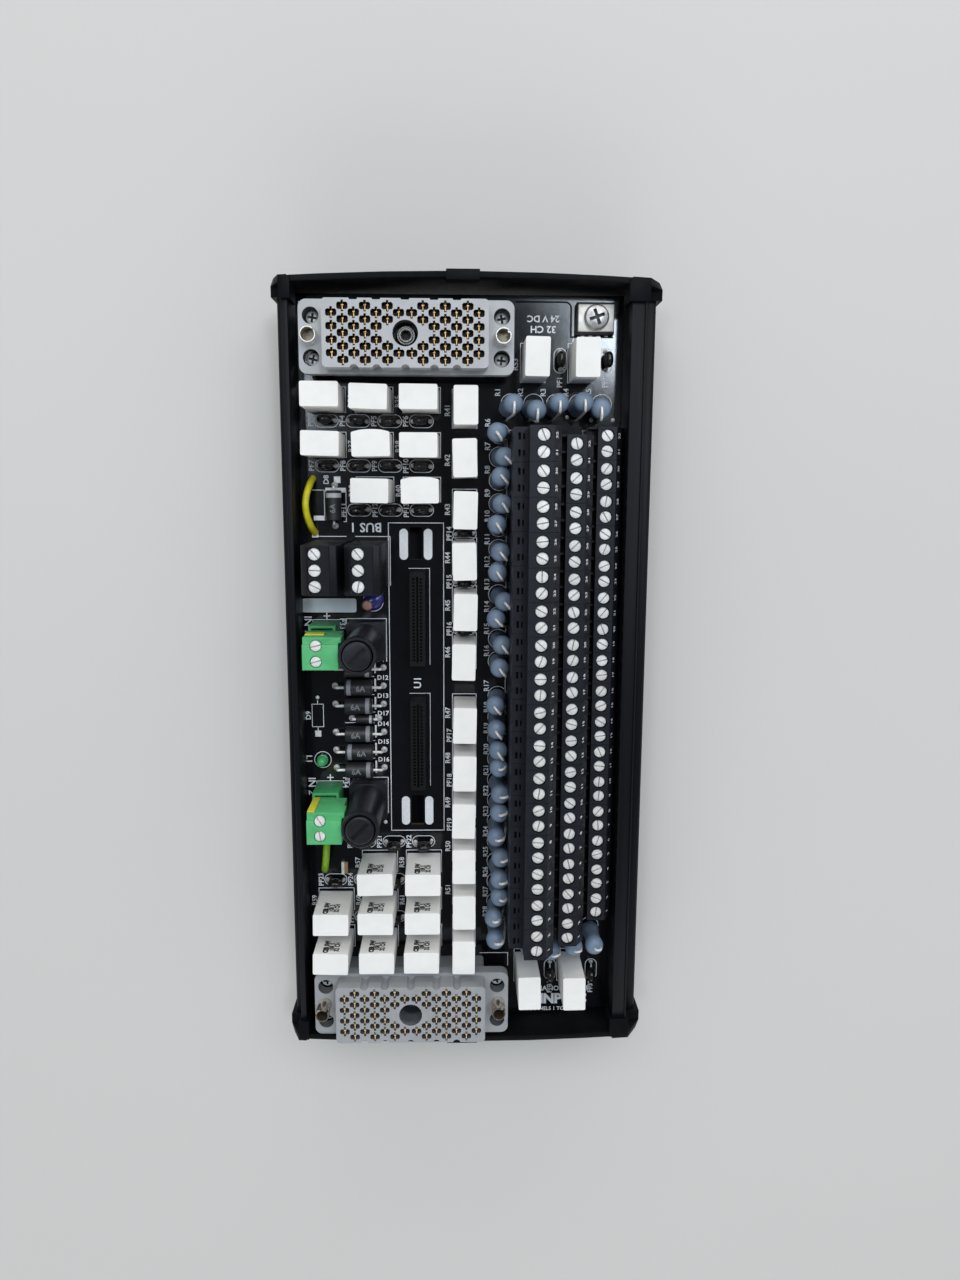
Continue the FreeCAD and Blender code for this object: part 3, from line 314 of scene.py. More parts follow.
def spread(master, places):
    """One mesh of copies of a master, each at its own place."""
    mesh = as_mesh(master)
    result = bmesh.new()
    for place in places:
        add_mesh(result, mesh, place)
    bpy.data.meshes.remove(mesh)
    return result


def join(*parts):
    """Several meshes in one."""
    result = bmesh.new()
    for part in parts:
        mesh = as_mesh(part)
        result.from_mesh(mesh)
        bpy.data.meshes.remove(mesh)
    return result


def piece(name, bm, node, *materials, body="carrier"):
    """Make an object of a finished mesh, on its body, in place of its CAD node."""
    bmesh.ops.recalc_face_normals(bm, faces=bm.faces[:])
    bmesh.ops.scale(bm, vec=(MM,) * 3, verts=bm.verts[:])
    mesh = as_mesh(bm, name)
    for material in materials:
        mesh.materials.append(material)
    mesh.polygons.foreach_set("use_smooth", [True] * len(mesh.polygons))
    mesh.set_sharp_from_angle(angle=CREASE)
    thing = add_object(name, mesh)
    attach(thing, body)
    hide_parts(node)


def dressed(name, node, width, material, body="carrier"):
    """A CAD node with its edges broken as moulded, pressed or extruded edges are."""
    piece(name, bevel(cad_copy(node), width), node, material, body=body)


# Print: flat lines, patches and words

PRINT_RISE = 0.04
MARK_LEVEL = BOARD_TOP + PRINT_RISE
LINE = 0.23
MITRE_LIMIT = 0.3
LETTER_WEIGHT = 0.02


def add_ribbon(bm, points, width=LINE, closed=False, index=0):
    """A flat line on the board through points in X and Y, with mitred corners."""
    points = [Vector(p) for p in points]
    count = len(points)
    edges = []
    for n, point in enumerate(points):
        first = n == 0 and not closed
        last = n == count - 1 and not closed
        ahead = points[(n + 1) % count] - point
        behind = point - points[n - 1]
        ahead = (behind if last else ahead).normalized()
        behind = (ahead if first else behind).normalized()
        along = (ahead + behind).normalized()
        reach = width / 2 / max(along.dot(ahead), MITRE_LIMIT)
        across = Vector((-along.y, along.x)) * reach
        edges.append([bm.verts.new((*(point + across * side), MARK_LEVEL)) for side in SIDES])
    for n in range(count if closed else count - 1):
        (a, b), (c, d) = edges[n], edges[(n + 1) % count]
        bm.faces.new((a, c, d, b)).material_index = index


def add_patch(bm, outline, index=0):
    """A flat filled shape on the board."""
    bm.faces.new([bm.verts.new((x, y, MARK_LEVEL)) for x, y in outline]).material_index = index


def add_words(bm, words, index=0):
    """Words as flat letters: each entry has its text, letter height, place and weight."""
    made = []
    for text, size, place, weight in words:
        curve = bpy.data.curves.new("word", "FONT")
        curve.body = text
        curve.size = size
        curve.offset = size * weight
        curve.resolution_u = 2
        curve.align_x = "CENTER"
        curve.align_y = "CENTER"
        made.append((add_object("word", curve), curve, place))
    graph = bpy.context.evaluated_depsgraph_get()
    for thing, curve, place in made:
        mesh = bpy.data.meshes.new_from_object(thing.evaluated_get(graph))
        shade(add_mesh(bm, mesh, place), index)
        bpy.data.meshes.remove(mesh)
        bpy.data.objects.remove(thing)
        bpy.data.curves.remove(curve)


# Materials

DARK_BELOW = 0.3
FULL_ABOVE = 0.6
GLOSS_GRAIN = 2.3
BUMP_HEIGHT = 0.0002


def add_node(tree, kind, **values):
    """A shader node with values at some of its inputs."""
    node = tree.nodes.new(kind)
    set_inputs(node, values)
    return node


def set_inputs(node, values):
    for socket, value in values.items():
        node.inputs[socket.replace("_", " ")].default_value = value


def surface(name, colour, dark, roughness, metallic=0.0, *, scale, bump, bump_scale=1500, stretch=(1, 1, 1),
            **sockets):
    """A shader whose colour, roughness and height vary with noise at the scale of the real surface."""
    made = bpy.data.materials.new(name)
    made.use_nodes = True
    tree = made.node_tree
    link = tree.links.new
    shader = tree.nodes["Principled BSDF"]
    set_inputs(shader, {"Metallic": metallic, **sockets})
    place = add_node(tree, "ShaderNodeTexCoord")
    sizing = add_node(tree, "ShaderNodeMapping", Scale=stretch)
    link(place.outputs["Object"], sizing.inputs["Vector"])

    def noise(grain, detail):
        field = add_node(tree, "ShaderNodeTexNoise", Scale=grain, Detail=detail)
        link(sizing.outputs["Vector"], field.inputs["Vector"])
        return field.outputs["Fac"]

    ramp = add_node(tree, "ShaderNodeValToRGB")
    for stop, position, tone in zip(ramp.color_ramp.elements, (DARK_BELOW, FULL_ABOVE), (dark, colour)):
        stop.position = position
        stop.color = (*tone, 1)
    link(noise(scale, 4), ramp.inputs["Fac"])
    link(ramp.outputs["Color"], shader.inputs["Base Color"])
    gloss = add_node(tree, "ShaderNodeMapRange", To_Min=roughness[0], To_Max=roughness[1])
    link(noise(scale * GLOSS_GRAIN, 3), gloss.inputs["Value"])
    link(gloss.outputs["Result"], shader.inputs["Roughness"])
    if bump:
        height = add_node(tree, "ShaderNodeBump", Strength=bump, Distance=BUMP_HEIGHT)
        link(noise(bump_scale, 2), height.inputs["Height"])
        link(height.outputs["Normal"], shader.inputs["Normal"])
    return made


EXTRUDED = surface("extruded_black", (0.0060, 0.0066, 0.0092), (0.004, 0.0044, 0.006), (0.34, 0.5),
                   scale=900, stretch=(1, 0.02, 1), bump=0.12, bump_scale=2600, Specular_IOR_Level=0.13)
MOULDED = surface("moulded_black", (0.0045, 0.0048, 0.0062), (0.003, 0.003, 0.004), (0.38, 0.55), scale=260,
                  bump=0.12, bump_scale=4200, Specular_IOR_Level=0.08)
FOOT = surface("foot_black", (0.03, 0.03, 0.032), (0.02, 0.02, 0.021), (0.45, 0.6), scale=240, bump=0.15,
               bump_scale=3800)
LATCH = surface("latch_grey", (0.07, 0.07, 0.075), (0.05, 0.05, 0.053), (0.42, 0.6), scale=240, bump=0.15,
                bump_scale=3800)
BOARD = surface("board_mask", (0.0045, 0.005, 0.0075), (0.003, 0.003, 0.005), (0.09, 0.14), scale=120,
                bump=0.03, bump_scale=700)
TRACE = surface("board_groove", (0.003, 0.003, 0.004), (0.002, 0.002, 0.003), (0.5, 0.7), scale=400, bump=0,
                Specular_IOR_Level=0.15)
LAMINATE = surface("board_edge", (0.10, 0.085, 0.05), (0.05, 0.045, 0.03), (0.6, 0.8), scale=1500,
                   stretch=(1, 1, 6), bump=0.3)
PRINT = surface("board_print", (0.88, 0.91, 0.95), (0.74, 0.77, 0.81), (0.45, 0.6), scale=2500, bump=0.06)
TERMINAL = surface("terminal_black", (0.0128, 0.0142, 0.0205), (0.009, 0.010, 0.0145), (0.36, 0.52),
                   scale=320, bump=0.14, bump_scale=4200, Specular_IOR_Level=0.2)
BUS = surface("bus_black", (0.0068, 0.0080, 0.0108), (0.0046, 0.0054, 0.0072), (0.32, 0.48), scale=320,
              bump=0.14, bump_scale=4200, Specular_IOR_Level=0.18)
GREY = surface("connector_grey", (0.46, 0.475, 0.49), (0.41, 0.425, 0.44), (0.42, 0.56), scale=180,
               bump=0.1, bump_scale=3600)
# Painted shade: a darker copy of the upper connector's grey for the lower connector.
LOWER_GREY_PAINTED_SHADE = surface("lower_connector_grey_painted_shade", (0.34, 0.355, 0.37), (0.30, 0.315, 0.325), (0.42, 0.56),
                   scale=180, bump=0.1, bump_scale=3600)
# Painted shade: near-black colour for the floors and walls of the contact wells, the jack sleeve's bore and
# the screw heads' cross recesses.
WELL_PAINTED_SHADE = surface("contact_well_painted_shade", (0.012, 0.011, 0.010), (0.006, 0.006, 0.006), (0.5, 0.7), scale=900, bump=0)
# Painted shade for the lower connector's contact wells, paler than the upper connector's.
LOWER_WELL_PAINTED_SHADE = surface("lower_contact_well", (0.11, 0.10, 0.092), (0.07, 0.064, 0.058), (0.5, 0.7), scale=900,
                   bump=0)
GOLD = surface("contact_gold", (0.86, 0.52, 0.20), (0.50, 0.26, 0.08), (0.26, 0.42), 0.5, scale=1400,
               bump=0.05)
# Painted light: a paler, lit copy of the contact gold for the lower connector's blades.
LOWER_GOLD_PAINTED_LIGHT = surface("lower_contact_gold_painted_light", (0.98, 0.80, 0.52), (0.80, 0.56, 0.28), (0.26, 0.42), 0.3,
                    scale=1400, bump=0.05)
NICKEL = surface("nickel", (0.86, 0.84, 0.80), (0.66, 0.64, 0.60), (0.25, 0.42), 0.5, scale=700, bump=0.08,
                 bump_scale=2600)
BRONZE = surface("sleeve_bronze", (0.80, 0.73, 0.64), (0.50, 0.42, 0.33), (0.07, 0.16), 0.9, scale=700,
                 bump=0.08, bump_scale=2600)
STEEL = surface("brushed_steel", (0.52, 0.51, 0.50), (0.36, 0.35, 0.34), (0.25, 0.42), 0.6, scale=700,
                bump=0.15, bump_scale=2200)
JACK_STEEL = surface("jack_steel", (0.34, 0.33, 0.31), (0.22, 0.21, 0.19), (0.2, 0.34), 0.7, scale=700,
                     bump=0.1, bump_scale=2200)
PLATED = surface("clamp_plating", (0.88, 0.86, 0.81), (0.70, 0.67, 0.61), (0.3, 0.45), 0.35, scale=500,
                 bump=0.1, bump_scale=2200)
SCREW = surface("screw_steel", (0.86, 0.86, 0.85), (0.72, 0.71, 0.69), (0.42, 0.6), 0.25, scale=900,
                bump=0.16, bump_scale=2200)
# Painted shade: a darker colour for the floor of the screw slots.
SLOT_PAINTED_SHADE = surface("slot_painted_shade", (0.50, 0.48, 0.45), (0.34, 0.32, 0.30), (0.5, 0.7), 0.2, scale=1200, bump=0.1)
CERAMIC = surface("ceramic_white", (0.90, 0.89, 0.865), (0.86, 0.85, 0.82), (0.55, 0.75), scale=220,
                  bump=0.2, bump_scale=1800)
STAMP = surface("resistor_stamp", (0.012, 0.012, 0.014), (0.04, 0.04, 0.043), (0.6, 0.8), scale=3000,
                bump=0)
LACQUER = surface("load_lacquer", (0.172, 0.236, 0.325), (0.136, 0.188, 0.262), (0.4, 0.55), scale=260,
                  bump=0.1, bump_scale=1400)
TINNED = surface("tinned_wire", (0.80, 0.79, 0.775), (0.60, 0.59, 0.575), (0.25, 0.42), 0.25, scale=900,
                 bump=0.08)
SOLDER = surface("solder", (0.88, 0.87, 0.84), (0.70, 0.69, 0.66), (0.28, 0.45), 0.2, scale=900, bump=0.2)
TABLET = surface("tablet_coat", (0.012, 0.010, 0.010), (0.007, 0.006, 0.006), (0.06, 0.16), scale=300,
                 bump=0.2, bump_scale=700)
EPOXY = surface("diode_epoxy", (0.022, 0.023, 0.026), (0.015, 0.015, 0.017), (0.32, 0.5), scale=500,
                bump=0.12, Specular_IOR_Level=0.4)
BAND = surface("diode_band", (0.27, 0.28, 0.31), (0.19, 0.20, 0.22), (0.4, 0.55), scale=1500, bump=0.05)
FUSE = surface("fuse_black", (0.012, 0.013, 0.017), (0.008, 0.008, 0.011), (0.26, 0.4), scale=260,
               bump=0.08, bump_scale=3600, Specular_IOR_Level=0.42)
GLASS = surface("fuse_glass", (0.85, 0.88, 0.87), (0.8, 0.83, 0.82), (0.02, 0.06), scale=200, bump=0,
                Transmission_Weight=0.9, IOR=1.48)
GREEN = surface("plug_green", (0.092, 0.47, 0.178), (0.075, 0.41, 0.15), (0.38, 0.52), scale=220, bump=0.1,
                bump_scale=3600)
DEEP_GREEN = surface("header_green", (0.045, 0.30, 0.105), (0.034, 0.25, 0.085), (0.38, 0.52), scale=220,
                     bump=0.1, bump_scale=3600)
YELLOW = surface("marker_yellow", (0.66, 0.60, 0.045), (0.58, 0.51, 0.03), (0.4, 0.55), scale=600,
                 bump=0.05)
SOCKET = surface("socket_black", (0.006, 0.0062, 0.007), (0.004, 0.004, 0.005), (0.45, 0.6), scale=400,
                 bump=0.1, Specular_IOR_Level=0.16)
LAMP = surface("lamp_green", (0.08, 0.58, 0.20), (0.05, 0.46, 0.15), (0.08, 0.16), scale=200, bump=0,
               Transmission_Weight=0.2, IOR=1.5)
DIPPED = surface("dipped_blue", (0.040, 0.042, 0.26), (0.020, 0.020, 0.13), (0.14, 0.28), scale=500,
                 bump=0.25, bump_scale=900)
PALE_BAND = surface("diode_pale_band", (0.48, 0.50, 0.53), (0.38, 0.40, 0.42), (0.4, 0.55), scale=1500,
                    bump=0.05)
BODY_MARK = surface("body_mark", (0.24, 0.25, 0.265), (0.13, 0.135, 0.145), (0.5, 0.65), scale=1800, bump=0)
STRIP = surface("writing_strip", (0.84, 0.92, 1.0), (0.78, 0.86, 0.94), (0.3, 0.45), scale=300, bump=0.03)
# Painted shade: dark colour for the walls of the fixing bores and centre hole, and for the earth screw's
# recess.
HOLLOW_PAINTED_SHADE = surface("connector_hollow_painted_shade", (0.07, 0.07, 0.073), (0.05, 0.05, 0.052), (0.5, 0.65), scale=300,
                 bump=0.05)
# Painted shade for the lower connector's fixing bores and centre hole, paler than the upper connector's.
LOWER_HOLLOW_PAINTED_SHADE = surface("lower_connector_hollow", (0.15, 0.16, 0.172), (0.11, 0.118, 0.128), (0.5, 0.65),
                     scale=300, bump=0.05)
# Painted shade: the bores of the guide sleeves are darker than the tubes, the lower ones darker still.
BORE_PAINTED_SHADE = surface("sleeve_bore", (0.36, 0.31, 0.23), (0.20, 0.17, 0.12), (0.35, 0.5), 0.3, scale=900,
               bump=0.05)
LOWER_BORE_PAINTED_SHADE = surface("lower_sleeve_bore", (0.06, 0.045, 0.03), (0.03, 0.022, 0.015), (0.35, 0.5), scale=900,
                    bump=0.05)
COPPER = surface("copper_spot", (0.60, 0.27, 0.17), (0.38, 0.26, 0.30), (0.35, 0.5), 0.3, scale=900,
                 bump=0.15)
SLEEVE_YELLOW = surface("sleeve_yellow", (0.76, 0.69, 0.02), (0.64, 0.57, 0.014), (0.34, 0.46), scale=500,
                        bump=0.05)
SLEEVE_GREEN = surface("sleeve_green", (0.27, 0.47, 0.025), (0.20, 0.39, 0.018), (0.34, 0.46), scale=500,
                       bump=0.05)
CHIP = surface("chip_tan", (0.36, 0.22, 0.11), (0.28, 0.165, 0.08), (0.45, 0.6), scale=900, bump=0.1)


# Carrier, end plates, feet and latches

PROFILE_EDGE = 0.22
PLATE_EDGE = 0.3
TAB_TRIM = 0.6


def tab_plate(node):
    """The lower end plate, with its middle tab set back under the edge of the connector."""
    plate = cad_copy(node)
    edge = min(vert.co.y for vert in plate.verts) + TAB_TRIM
    for vert in plate.verts:
        vert.co.y = max(vert.co.y, edge)
    piece(f"{node}_skin", bevel(plate, PLATE_EDGE), node, MOULDED)


dressed("carrier_profile_skin", "carrier_profile", PROFILE_EDGE, EXTRUDED)
dressed("upper_end_plate_skin", "upper_end_plate", PLATE_EDGE, MOULDED)
tab_plate("lower_end_plate")
for end in ENDS:
    dressed(f"{end}_rail_foot_skin", f"{end}_rail_foot", PLATE_EDGE, FOOT)
    dressed(f"{end}_rail_latch_skin", f"{end}_rail_latch", PLATE_EDGE, LATCH, f"{end}_latch")


# Rack connectors

FLANGE_CORNER = 2.5
FLANGE_THICKNESS = 4.5
FLANGE_EDGE = 0.35
INSULATOR = (52.0, 20.8)
INSULATOR_CORNER = 1.3
INSULATOR_EDGE = 0.3
CROSS_SLIT = (0.75, 3.5)
WELL_SIZE = {"upper": (3.5, 2.2), "lower": (3.35, 1.85)}
WELL_CORNER = 0.45
WELL_DEPTH = 3.0
JACK_RADIUS = 4.0
JACK_DEPTH = {"upper": 8.0, "lower": 13.0}
JACK_SUNK = 2.2
JACK_BORE = 1.45
FIXING_RADIUS = 2.65
FIXING_DEPTH = 7.0
BOSS_WALL = 0.7
NOTCHES = (-16.1, -9.0, 0.0, 9.0, 16.1)
NOTCH_RADIUS = 1.45
NOTCH_SHIFT = 0.45
BLADE_WIDTH = 0.3
BLADE_SINK = {"upper": 0.9, "lower": 0.45}
BLADE_STEP = 1.3
BLADE_HIGH = (-1.25, 0.3)
BLADE_END = 1.75
BLADE_EDGE = 0.06
TIP_SPAN = (0.2, 0.5)
TIP_WIDENING = 2.4
TIP_RISE = 0.2
SLEEVE_LIP = {"upper": 0.25, "lower": 0.0}
SLEEVE_WALL = 0.55
SLIT_RUN = (0.6, 4.0)
SLIT_HALF = 0.35
SLIT_DEPTH = 2.6
SLIT_TURN = 0.7
HEAD_HEIGHT = 2.8
HEAD_RECESS = (0.75, 0.9)

# Overlap of joined shapes, and margins by which faces are told apart when they are shaded.
SLACK = 0.1
TIGHT = 0.02
SUNK = 0.6
UPRIGHT_RISE = 0.5
LEVEL_RISE = 0.9

# Per connector: moulding, painted shade in the contact wells, painted shade in the fixing bores and centre
# hole. The lower connector's grey is a darker copy of the upper's, and its painted shade is paler.
RACK_SHADES = {"upper": [GREY, WELL_PAINTED_SHADE, HOLLOW_PAINTED_SHADE], "lower": [LOWER_GREY_PAINTED_SHADE, LOWER_WELL_PAINTED_SHADE, LOWER_HOLLOW_PAINTED_SHADE]}
# Tube metal, then painted shade inside the bore.
SLEEVE_SHADES = {"upper": [NICKEL, BORE_PAINTED_SHADE], "lower": [BRONZE, LOWER_BORE_PAINTED_SHADE]}
# The lower blades' paler gold is painted light.
BLADE_SHADES = {"upper": GOLD, "lower": LOWER_GOLD_PAINTED_LIGHT}


def cross_outline(centre, size):
    """Outline of a contact well: a wide slot with clipped corners, crossed by a slit."""
    (wide, low), (thin, tall) = size, CROSS_SLIT
    clip = WELL_CORNER * 2
    shape = [(wide, low - clip), (wide - clip, low), (thin, low), (thin, tall)]
    points = []
    for sx, sy, order in ((1, 1, 1), (-1, 1, -1), (-1, -1, 1), (1, -1, -1)):
        points += [(centre.x + sx * x / 2, centre.y + sy * y / 2) for x, y in shape[::order]]
    return points


def rack_flange(node, top):
    """The flange, with a boss and a fixing hole at each screw and a hole in the middle."""
    low, high, middle = box_mm(node)
    base = top - FLANGE_THICKNESS
    screws = [c for c in middles("connector_screws") if abs(c.y - middle.y) < INSULATOR[1]]
    outline = rounded_rectangle(high.x - low.x, high.y - low.y, FLANGE_CORNER, 6, middle)
    flange = bevel(add_prism(bmesh.new(), outline, base, top), FLANGE_EDGE, 3, SQUARE)
    holes = bmesh.new()
    for screw in screws:
        add_prism(flange, circle(FIXING_RADIUS + BOSS_WALL, 24, screw), low.z, base + SLACK)
        add_well(holes, FIXING_RADIUS, 32, screw, top, FIXING_DEPTH)
    add_well(holes, JACK_RADIUS, 40, middle, top, FLANGE_THICKNESS + PAST)
    flange = carve(flange, holes)

    def hollow(spot, normal):
        in_bore = any((spot - screw).xy.length < FIXING_RADIUS + SLACK / 2 for screw in screws)
        in_jack = abs(normal.z) < UPRIGHT_RISE and (spot - middle).xy.length < JACK_RADIUS + SLACK
        return in_bore or in_jack

    # The fixing bores and the centre hole are painted dark as shade.
    paint(flange, 2, hollow)
    return flange


def rack_block(end, node, flange_top, contacts):
    """The raised block, with its contact wells, its centre hole and the notches along its long edges."""
    low, high, middle = box_mm(node)
    half_x, half_y = INSULATOR[0] / 2, INSULATOR[1] / 2
    outline = rounded_rectangle(*INSULATOR, INSULATOR_CORNER, 4, middle)
    block = bevel(add_prism(bmesh.new(), outline, low.z, high.z), INSULATOR_EDGE, 2, SQUARE)
    wells = bmesh.new()
    for contact in contacts:
        add_prism(wells, cross_outline(contact, WELL_SIZE[end]), high.z - WELL_DEPTH, high.z + PAST)
    add_well(wells, JACK_RADIUS, 40, middle, high.z, JACK_DEPTH[end])
    notches = [Vector((middle.x + dx, middle.y + side * (half_y + NOTCH_SHIFT)))
               for dx in NOTCHES for side in SIDES]
    for notch in notches:
        add_well(wells, NOTCH_RADIUS, 20, notch, high.z, high.z - flange_top + PAST)
    block = carve(block, wells)

    def in_well(spot, _):
        inside = max(abs(spot.x - middle.x) - half_x, abs(spot.y - middle.y) - half_y) < -SUNK
        off_notch = min((spot.xy - notch).length for notch in notches) > NOTCH_RADIUS + SLACK
        return spot.z < high.z - SUNK and inside and off_notch

    def in_jack(spot, _):
        return spot.z < high.z - SUNK and (spot - middle).xy.length < JACK_RADIUS + SLACK

    # The insides of the wells and of the centre hole are painted dark as shade.
    paint(block, 1, in_well)
    paint(block, 2, in_jack)
    return block


def contact_blades(end, floor, contacts):
    """A stepped blade with a wider tip in each well."""
    blade = bmesh.new()
    half = BLADE_WIDTH / 2
    tip = half * TIP_WIDENING
    top = WELL_DEPTH - BLADE_SINK[end]
    add_box(blade, (-half, BLADE_HIGH[0], 0), (half, BLADE_HIGH[1], top))
    add_box(blade, (-half, -BLADE_END, 0), (half, BLADE_END, top - BLADE_STEP))
    add_box(blade, (-tip, TIP_SPAN[0], 0), (tip, TIP_SPAN[1], top + TIP_RISE))
    bevel(blade, BLADE_EDGE, 1)
    blades = spread(blade, [over(contact, floor) for contact in contacts])
    piece(f"{end}_contact_blades", blades, f"{end}_connector_contacts", BLADE_SHADES[end])


def rack_connector(end):
    node = f"{end}_rack_connector"
    flange_top = box_mm(f"{end}_guide_sleeves")[0].z
    contacts = middles(f"{end}_connector_contacts")
    moulding = join(rack_flange(node, flange_top), rack_block(end, node, flange_top, contacts))
    piece(f"{end}_rack_moulding", moulding, node, *RACK_SHADES[end])
    contact_blades(end, box_mm(node)[1].z - WELL_DEPTH, contacts)


def guide_sleeves(end):
    """Open sleeves with a rounded lip and a slit in the side."""
    boxes = islands(f"{end}_guide_sleeves")
    low, high, _ = boxes[-1]
    top = high.z
    radius = (high.y - low.y) / 2 + SLEEVE_LIP[end]
    bore = radius - SLEEVE_WALL
    profile = [(radius, low.z), (radius, top - 0.6), (radius - 0.2, top), (bore + 0.1, top),
               (bore, top - 0.2), (bore, low.z + 0.4), (0, low.z + 0.4)]
    tubes = bmesh.new()
    slits = bmesh.new()
    for _, _, centre in boxes:
        add_lathe(tubes, profile, 32, over(centre))
        add_box(slits, (SLIT_RUN[0], -SLIT_HALF, top - SLIT_DEPTH), (SLIT_RUN[1], SLIT_HALF, top + PAST),
                over(centre, 0, SLIT_TURN))
    tubes = carve(tubes, slits)

    def in_bore(spot, _):
        reach = min((spot - centre).xy.length for _, _, centre in boxes)
        return reach < bore + TIGHT and spot.z < top - SLACK

    # The bore's faces are painted darker as shade.
    paint(tubes, 1, in_bore)
    piece(f"{end}_guide_tubes", tubes, f"{end}_guide_sleeves", *SLEEVE_SHADES[end])


def cross_head(radius, height, slot_width, slot_depth):
    """A domed screw head with a cross recess, standing on zero."""
    profile = [(radius, 0), (radius, height * 0.55), (radius * 0.86, height * 0.85), (radius * 0.5, height),
               (0, height * 1.02)]
    reach = radius * 0.62
    half = slot_width / 2
    arm = [(reach, -half), (reach, half), (half, half)]
    outline = []
    for _ in range(4):
        outline += arm
        arm = [(-y, x) for x, y in arm]
    recess = add_prism(bmesh.new(), outline, height - slot_depth, height + PAST)
    head = carve(add_lathe(bmesh.new(), profile, 32), recess)
    rim = height - slot_depth * 0.3
    # The recess faces take the piece's second material, a dark colour painted as shade.
    paint(head, 1, lambda spot, _: SLACK < spot.z < rim and spot.xy.length < radius * 0.7)
    return head


def connector_screws():
    boxes = islands("connector_screws")
    places = [over(centre, low.z, random.uniform(0, math.pi)) for low, _, centre in boxes]
    radius = (boxes[0][1].y - boxes[0][0].y) / 2
    heads = spread(cross_head(radius, HEAD_HEIGHT, *HEAD_RECESS), places)
    piece("connector_screw_heads", heads, "connector_screws", SCREW, WELL_PAINTED_SHADE)


def jack_sleeve():
    """The turned steel sleeve in the upper connector's centre hole."""
    low, high, centre = box_mm("upper_jack_sleeve")
    radius = (high.y - low.y) / 2
    top = high.z - JACK_SUNK
    profile = [(radius, low.z), (radius, top - 0.9), (radius - 0.15, top - 0.75), (radius - 0.5, top - 0.75),
               (radius - 0.6, top - 0.2), (radius - 0.8, top), (JACK_BORE + 0.3, top), (JACK_BORE, top - 0.4),
               (JACK_BORE, low.z + 1.2), (0, low.z + 1.2)]
    sleeve = add_lathe(bmesh.new(), profile, 36, over(centre))
    # The bore takes a dark colour painted as shade.
    paint(sleeve, 1, lambda spot, _: (spot - centre).xy.length < JACK_BORE + TIGHT)
    piece("jack_sleeve_turned", sleeve, "upper_jack_sleeve", JACK_STEEL, WELL_PAINTED_SHADE)


for end in ENDS:
    rack_connector(end)
    guide_sleeves(end)
connector_screws()
jack_sleeve()


# Stepped terminal blocks

TIER_SHIFT = {"upper": 0.0, "middle": -1.9, "lower": 1.4}
TIER_RUN = 11.6
BLOCK_LENGTH = 10.612
BLOCK_EDGE = 0.22
POLES = (2.8, 7.88)
HALF_PITCH = 2.54
LABEL_RUN = 2.8
LABEL_DROP = 4.7
LEDGE_END = 18.6
LEDGE_TOP = BOARD_TOP + 31.0
TEST_SLOTS = ((1.7, (0.4, 1.1)), (3.05, (0.25, 0.9)))
TEST_SLOT_DEPTH = 2.5
TRENCH = (2.6, 5.5)
RIB_HALF = 0.35
RIB_DROP = 2.2
RIB_SINK = 0.2
RIB_FOOT = 0.5
SCREW_INSET = 5.8
SCREW_WELL = 2.2
SCREW_WELL_DEPTH = 1.6
SCREW_SUNK = 0.75
SCREW_TILT = 0.05
ENTRY_HALF = 1.8
ENTRY_DEPTH = 4.5
ENTRY_DROP = (11.2, 6.6)
SEAM_DEPTH = 0.25
SEAM_HALF = 0.02
SEAM_RUN = LABEL_RUN + 0.6
NUMBER_SIZE = 2.1
NUMBER_DOWN = 0.38
SLOT_HALF = 0.2
SLOT_DEPTH = 0.6
# Stands an outline drawn in X and Z upright.
UPRIGHT = Matrix(((1, 0, 0, 0), (0, 0, -1, 0), (0, 1, 0, 0), (0, 0, 0, 1)))


def tiers():
    """Name, inner X, outer X and top of each tier, from the frame's screws and block row."""
    outer = box_mm("terminal_blocks")[1].x
    for steps_in, name in ((2, "upper"), (1, "middle"), (0, "lower")):
        end_x = outer - TIER_RUN * steps_in
        yield name, end_x - TIER_RUN, end_x, box_mm(f"{name}_tier_screws")[0].z


def tier_outline(name, low_x, start_x, end_x, top):
    """Side view of a tier: a ledge or a trench, the screws' level and the sloping label."""
    slope = [(end_x - LABEL_RUN, top), (end_x, top - LABEL_DROP), (end_x, BOARD_TOP)]
    if name == "upper":
        return [(low_x, BOARD_TOP), (low_x, LEDGE_TOP), (LEDGE_END, LEDGE_TOP), (LEDGE_END, top)] + slope
    floor = top - TRENCH[1]
    wall = start_x + TRENCH[0]
    return [(start_x, BOARD_TOP), (start_x, floor), (wall, floor), (wall, top)] + slope


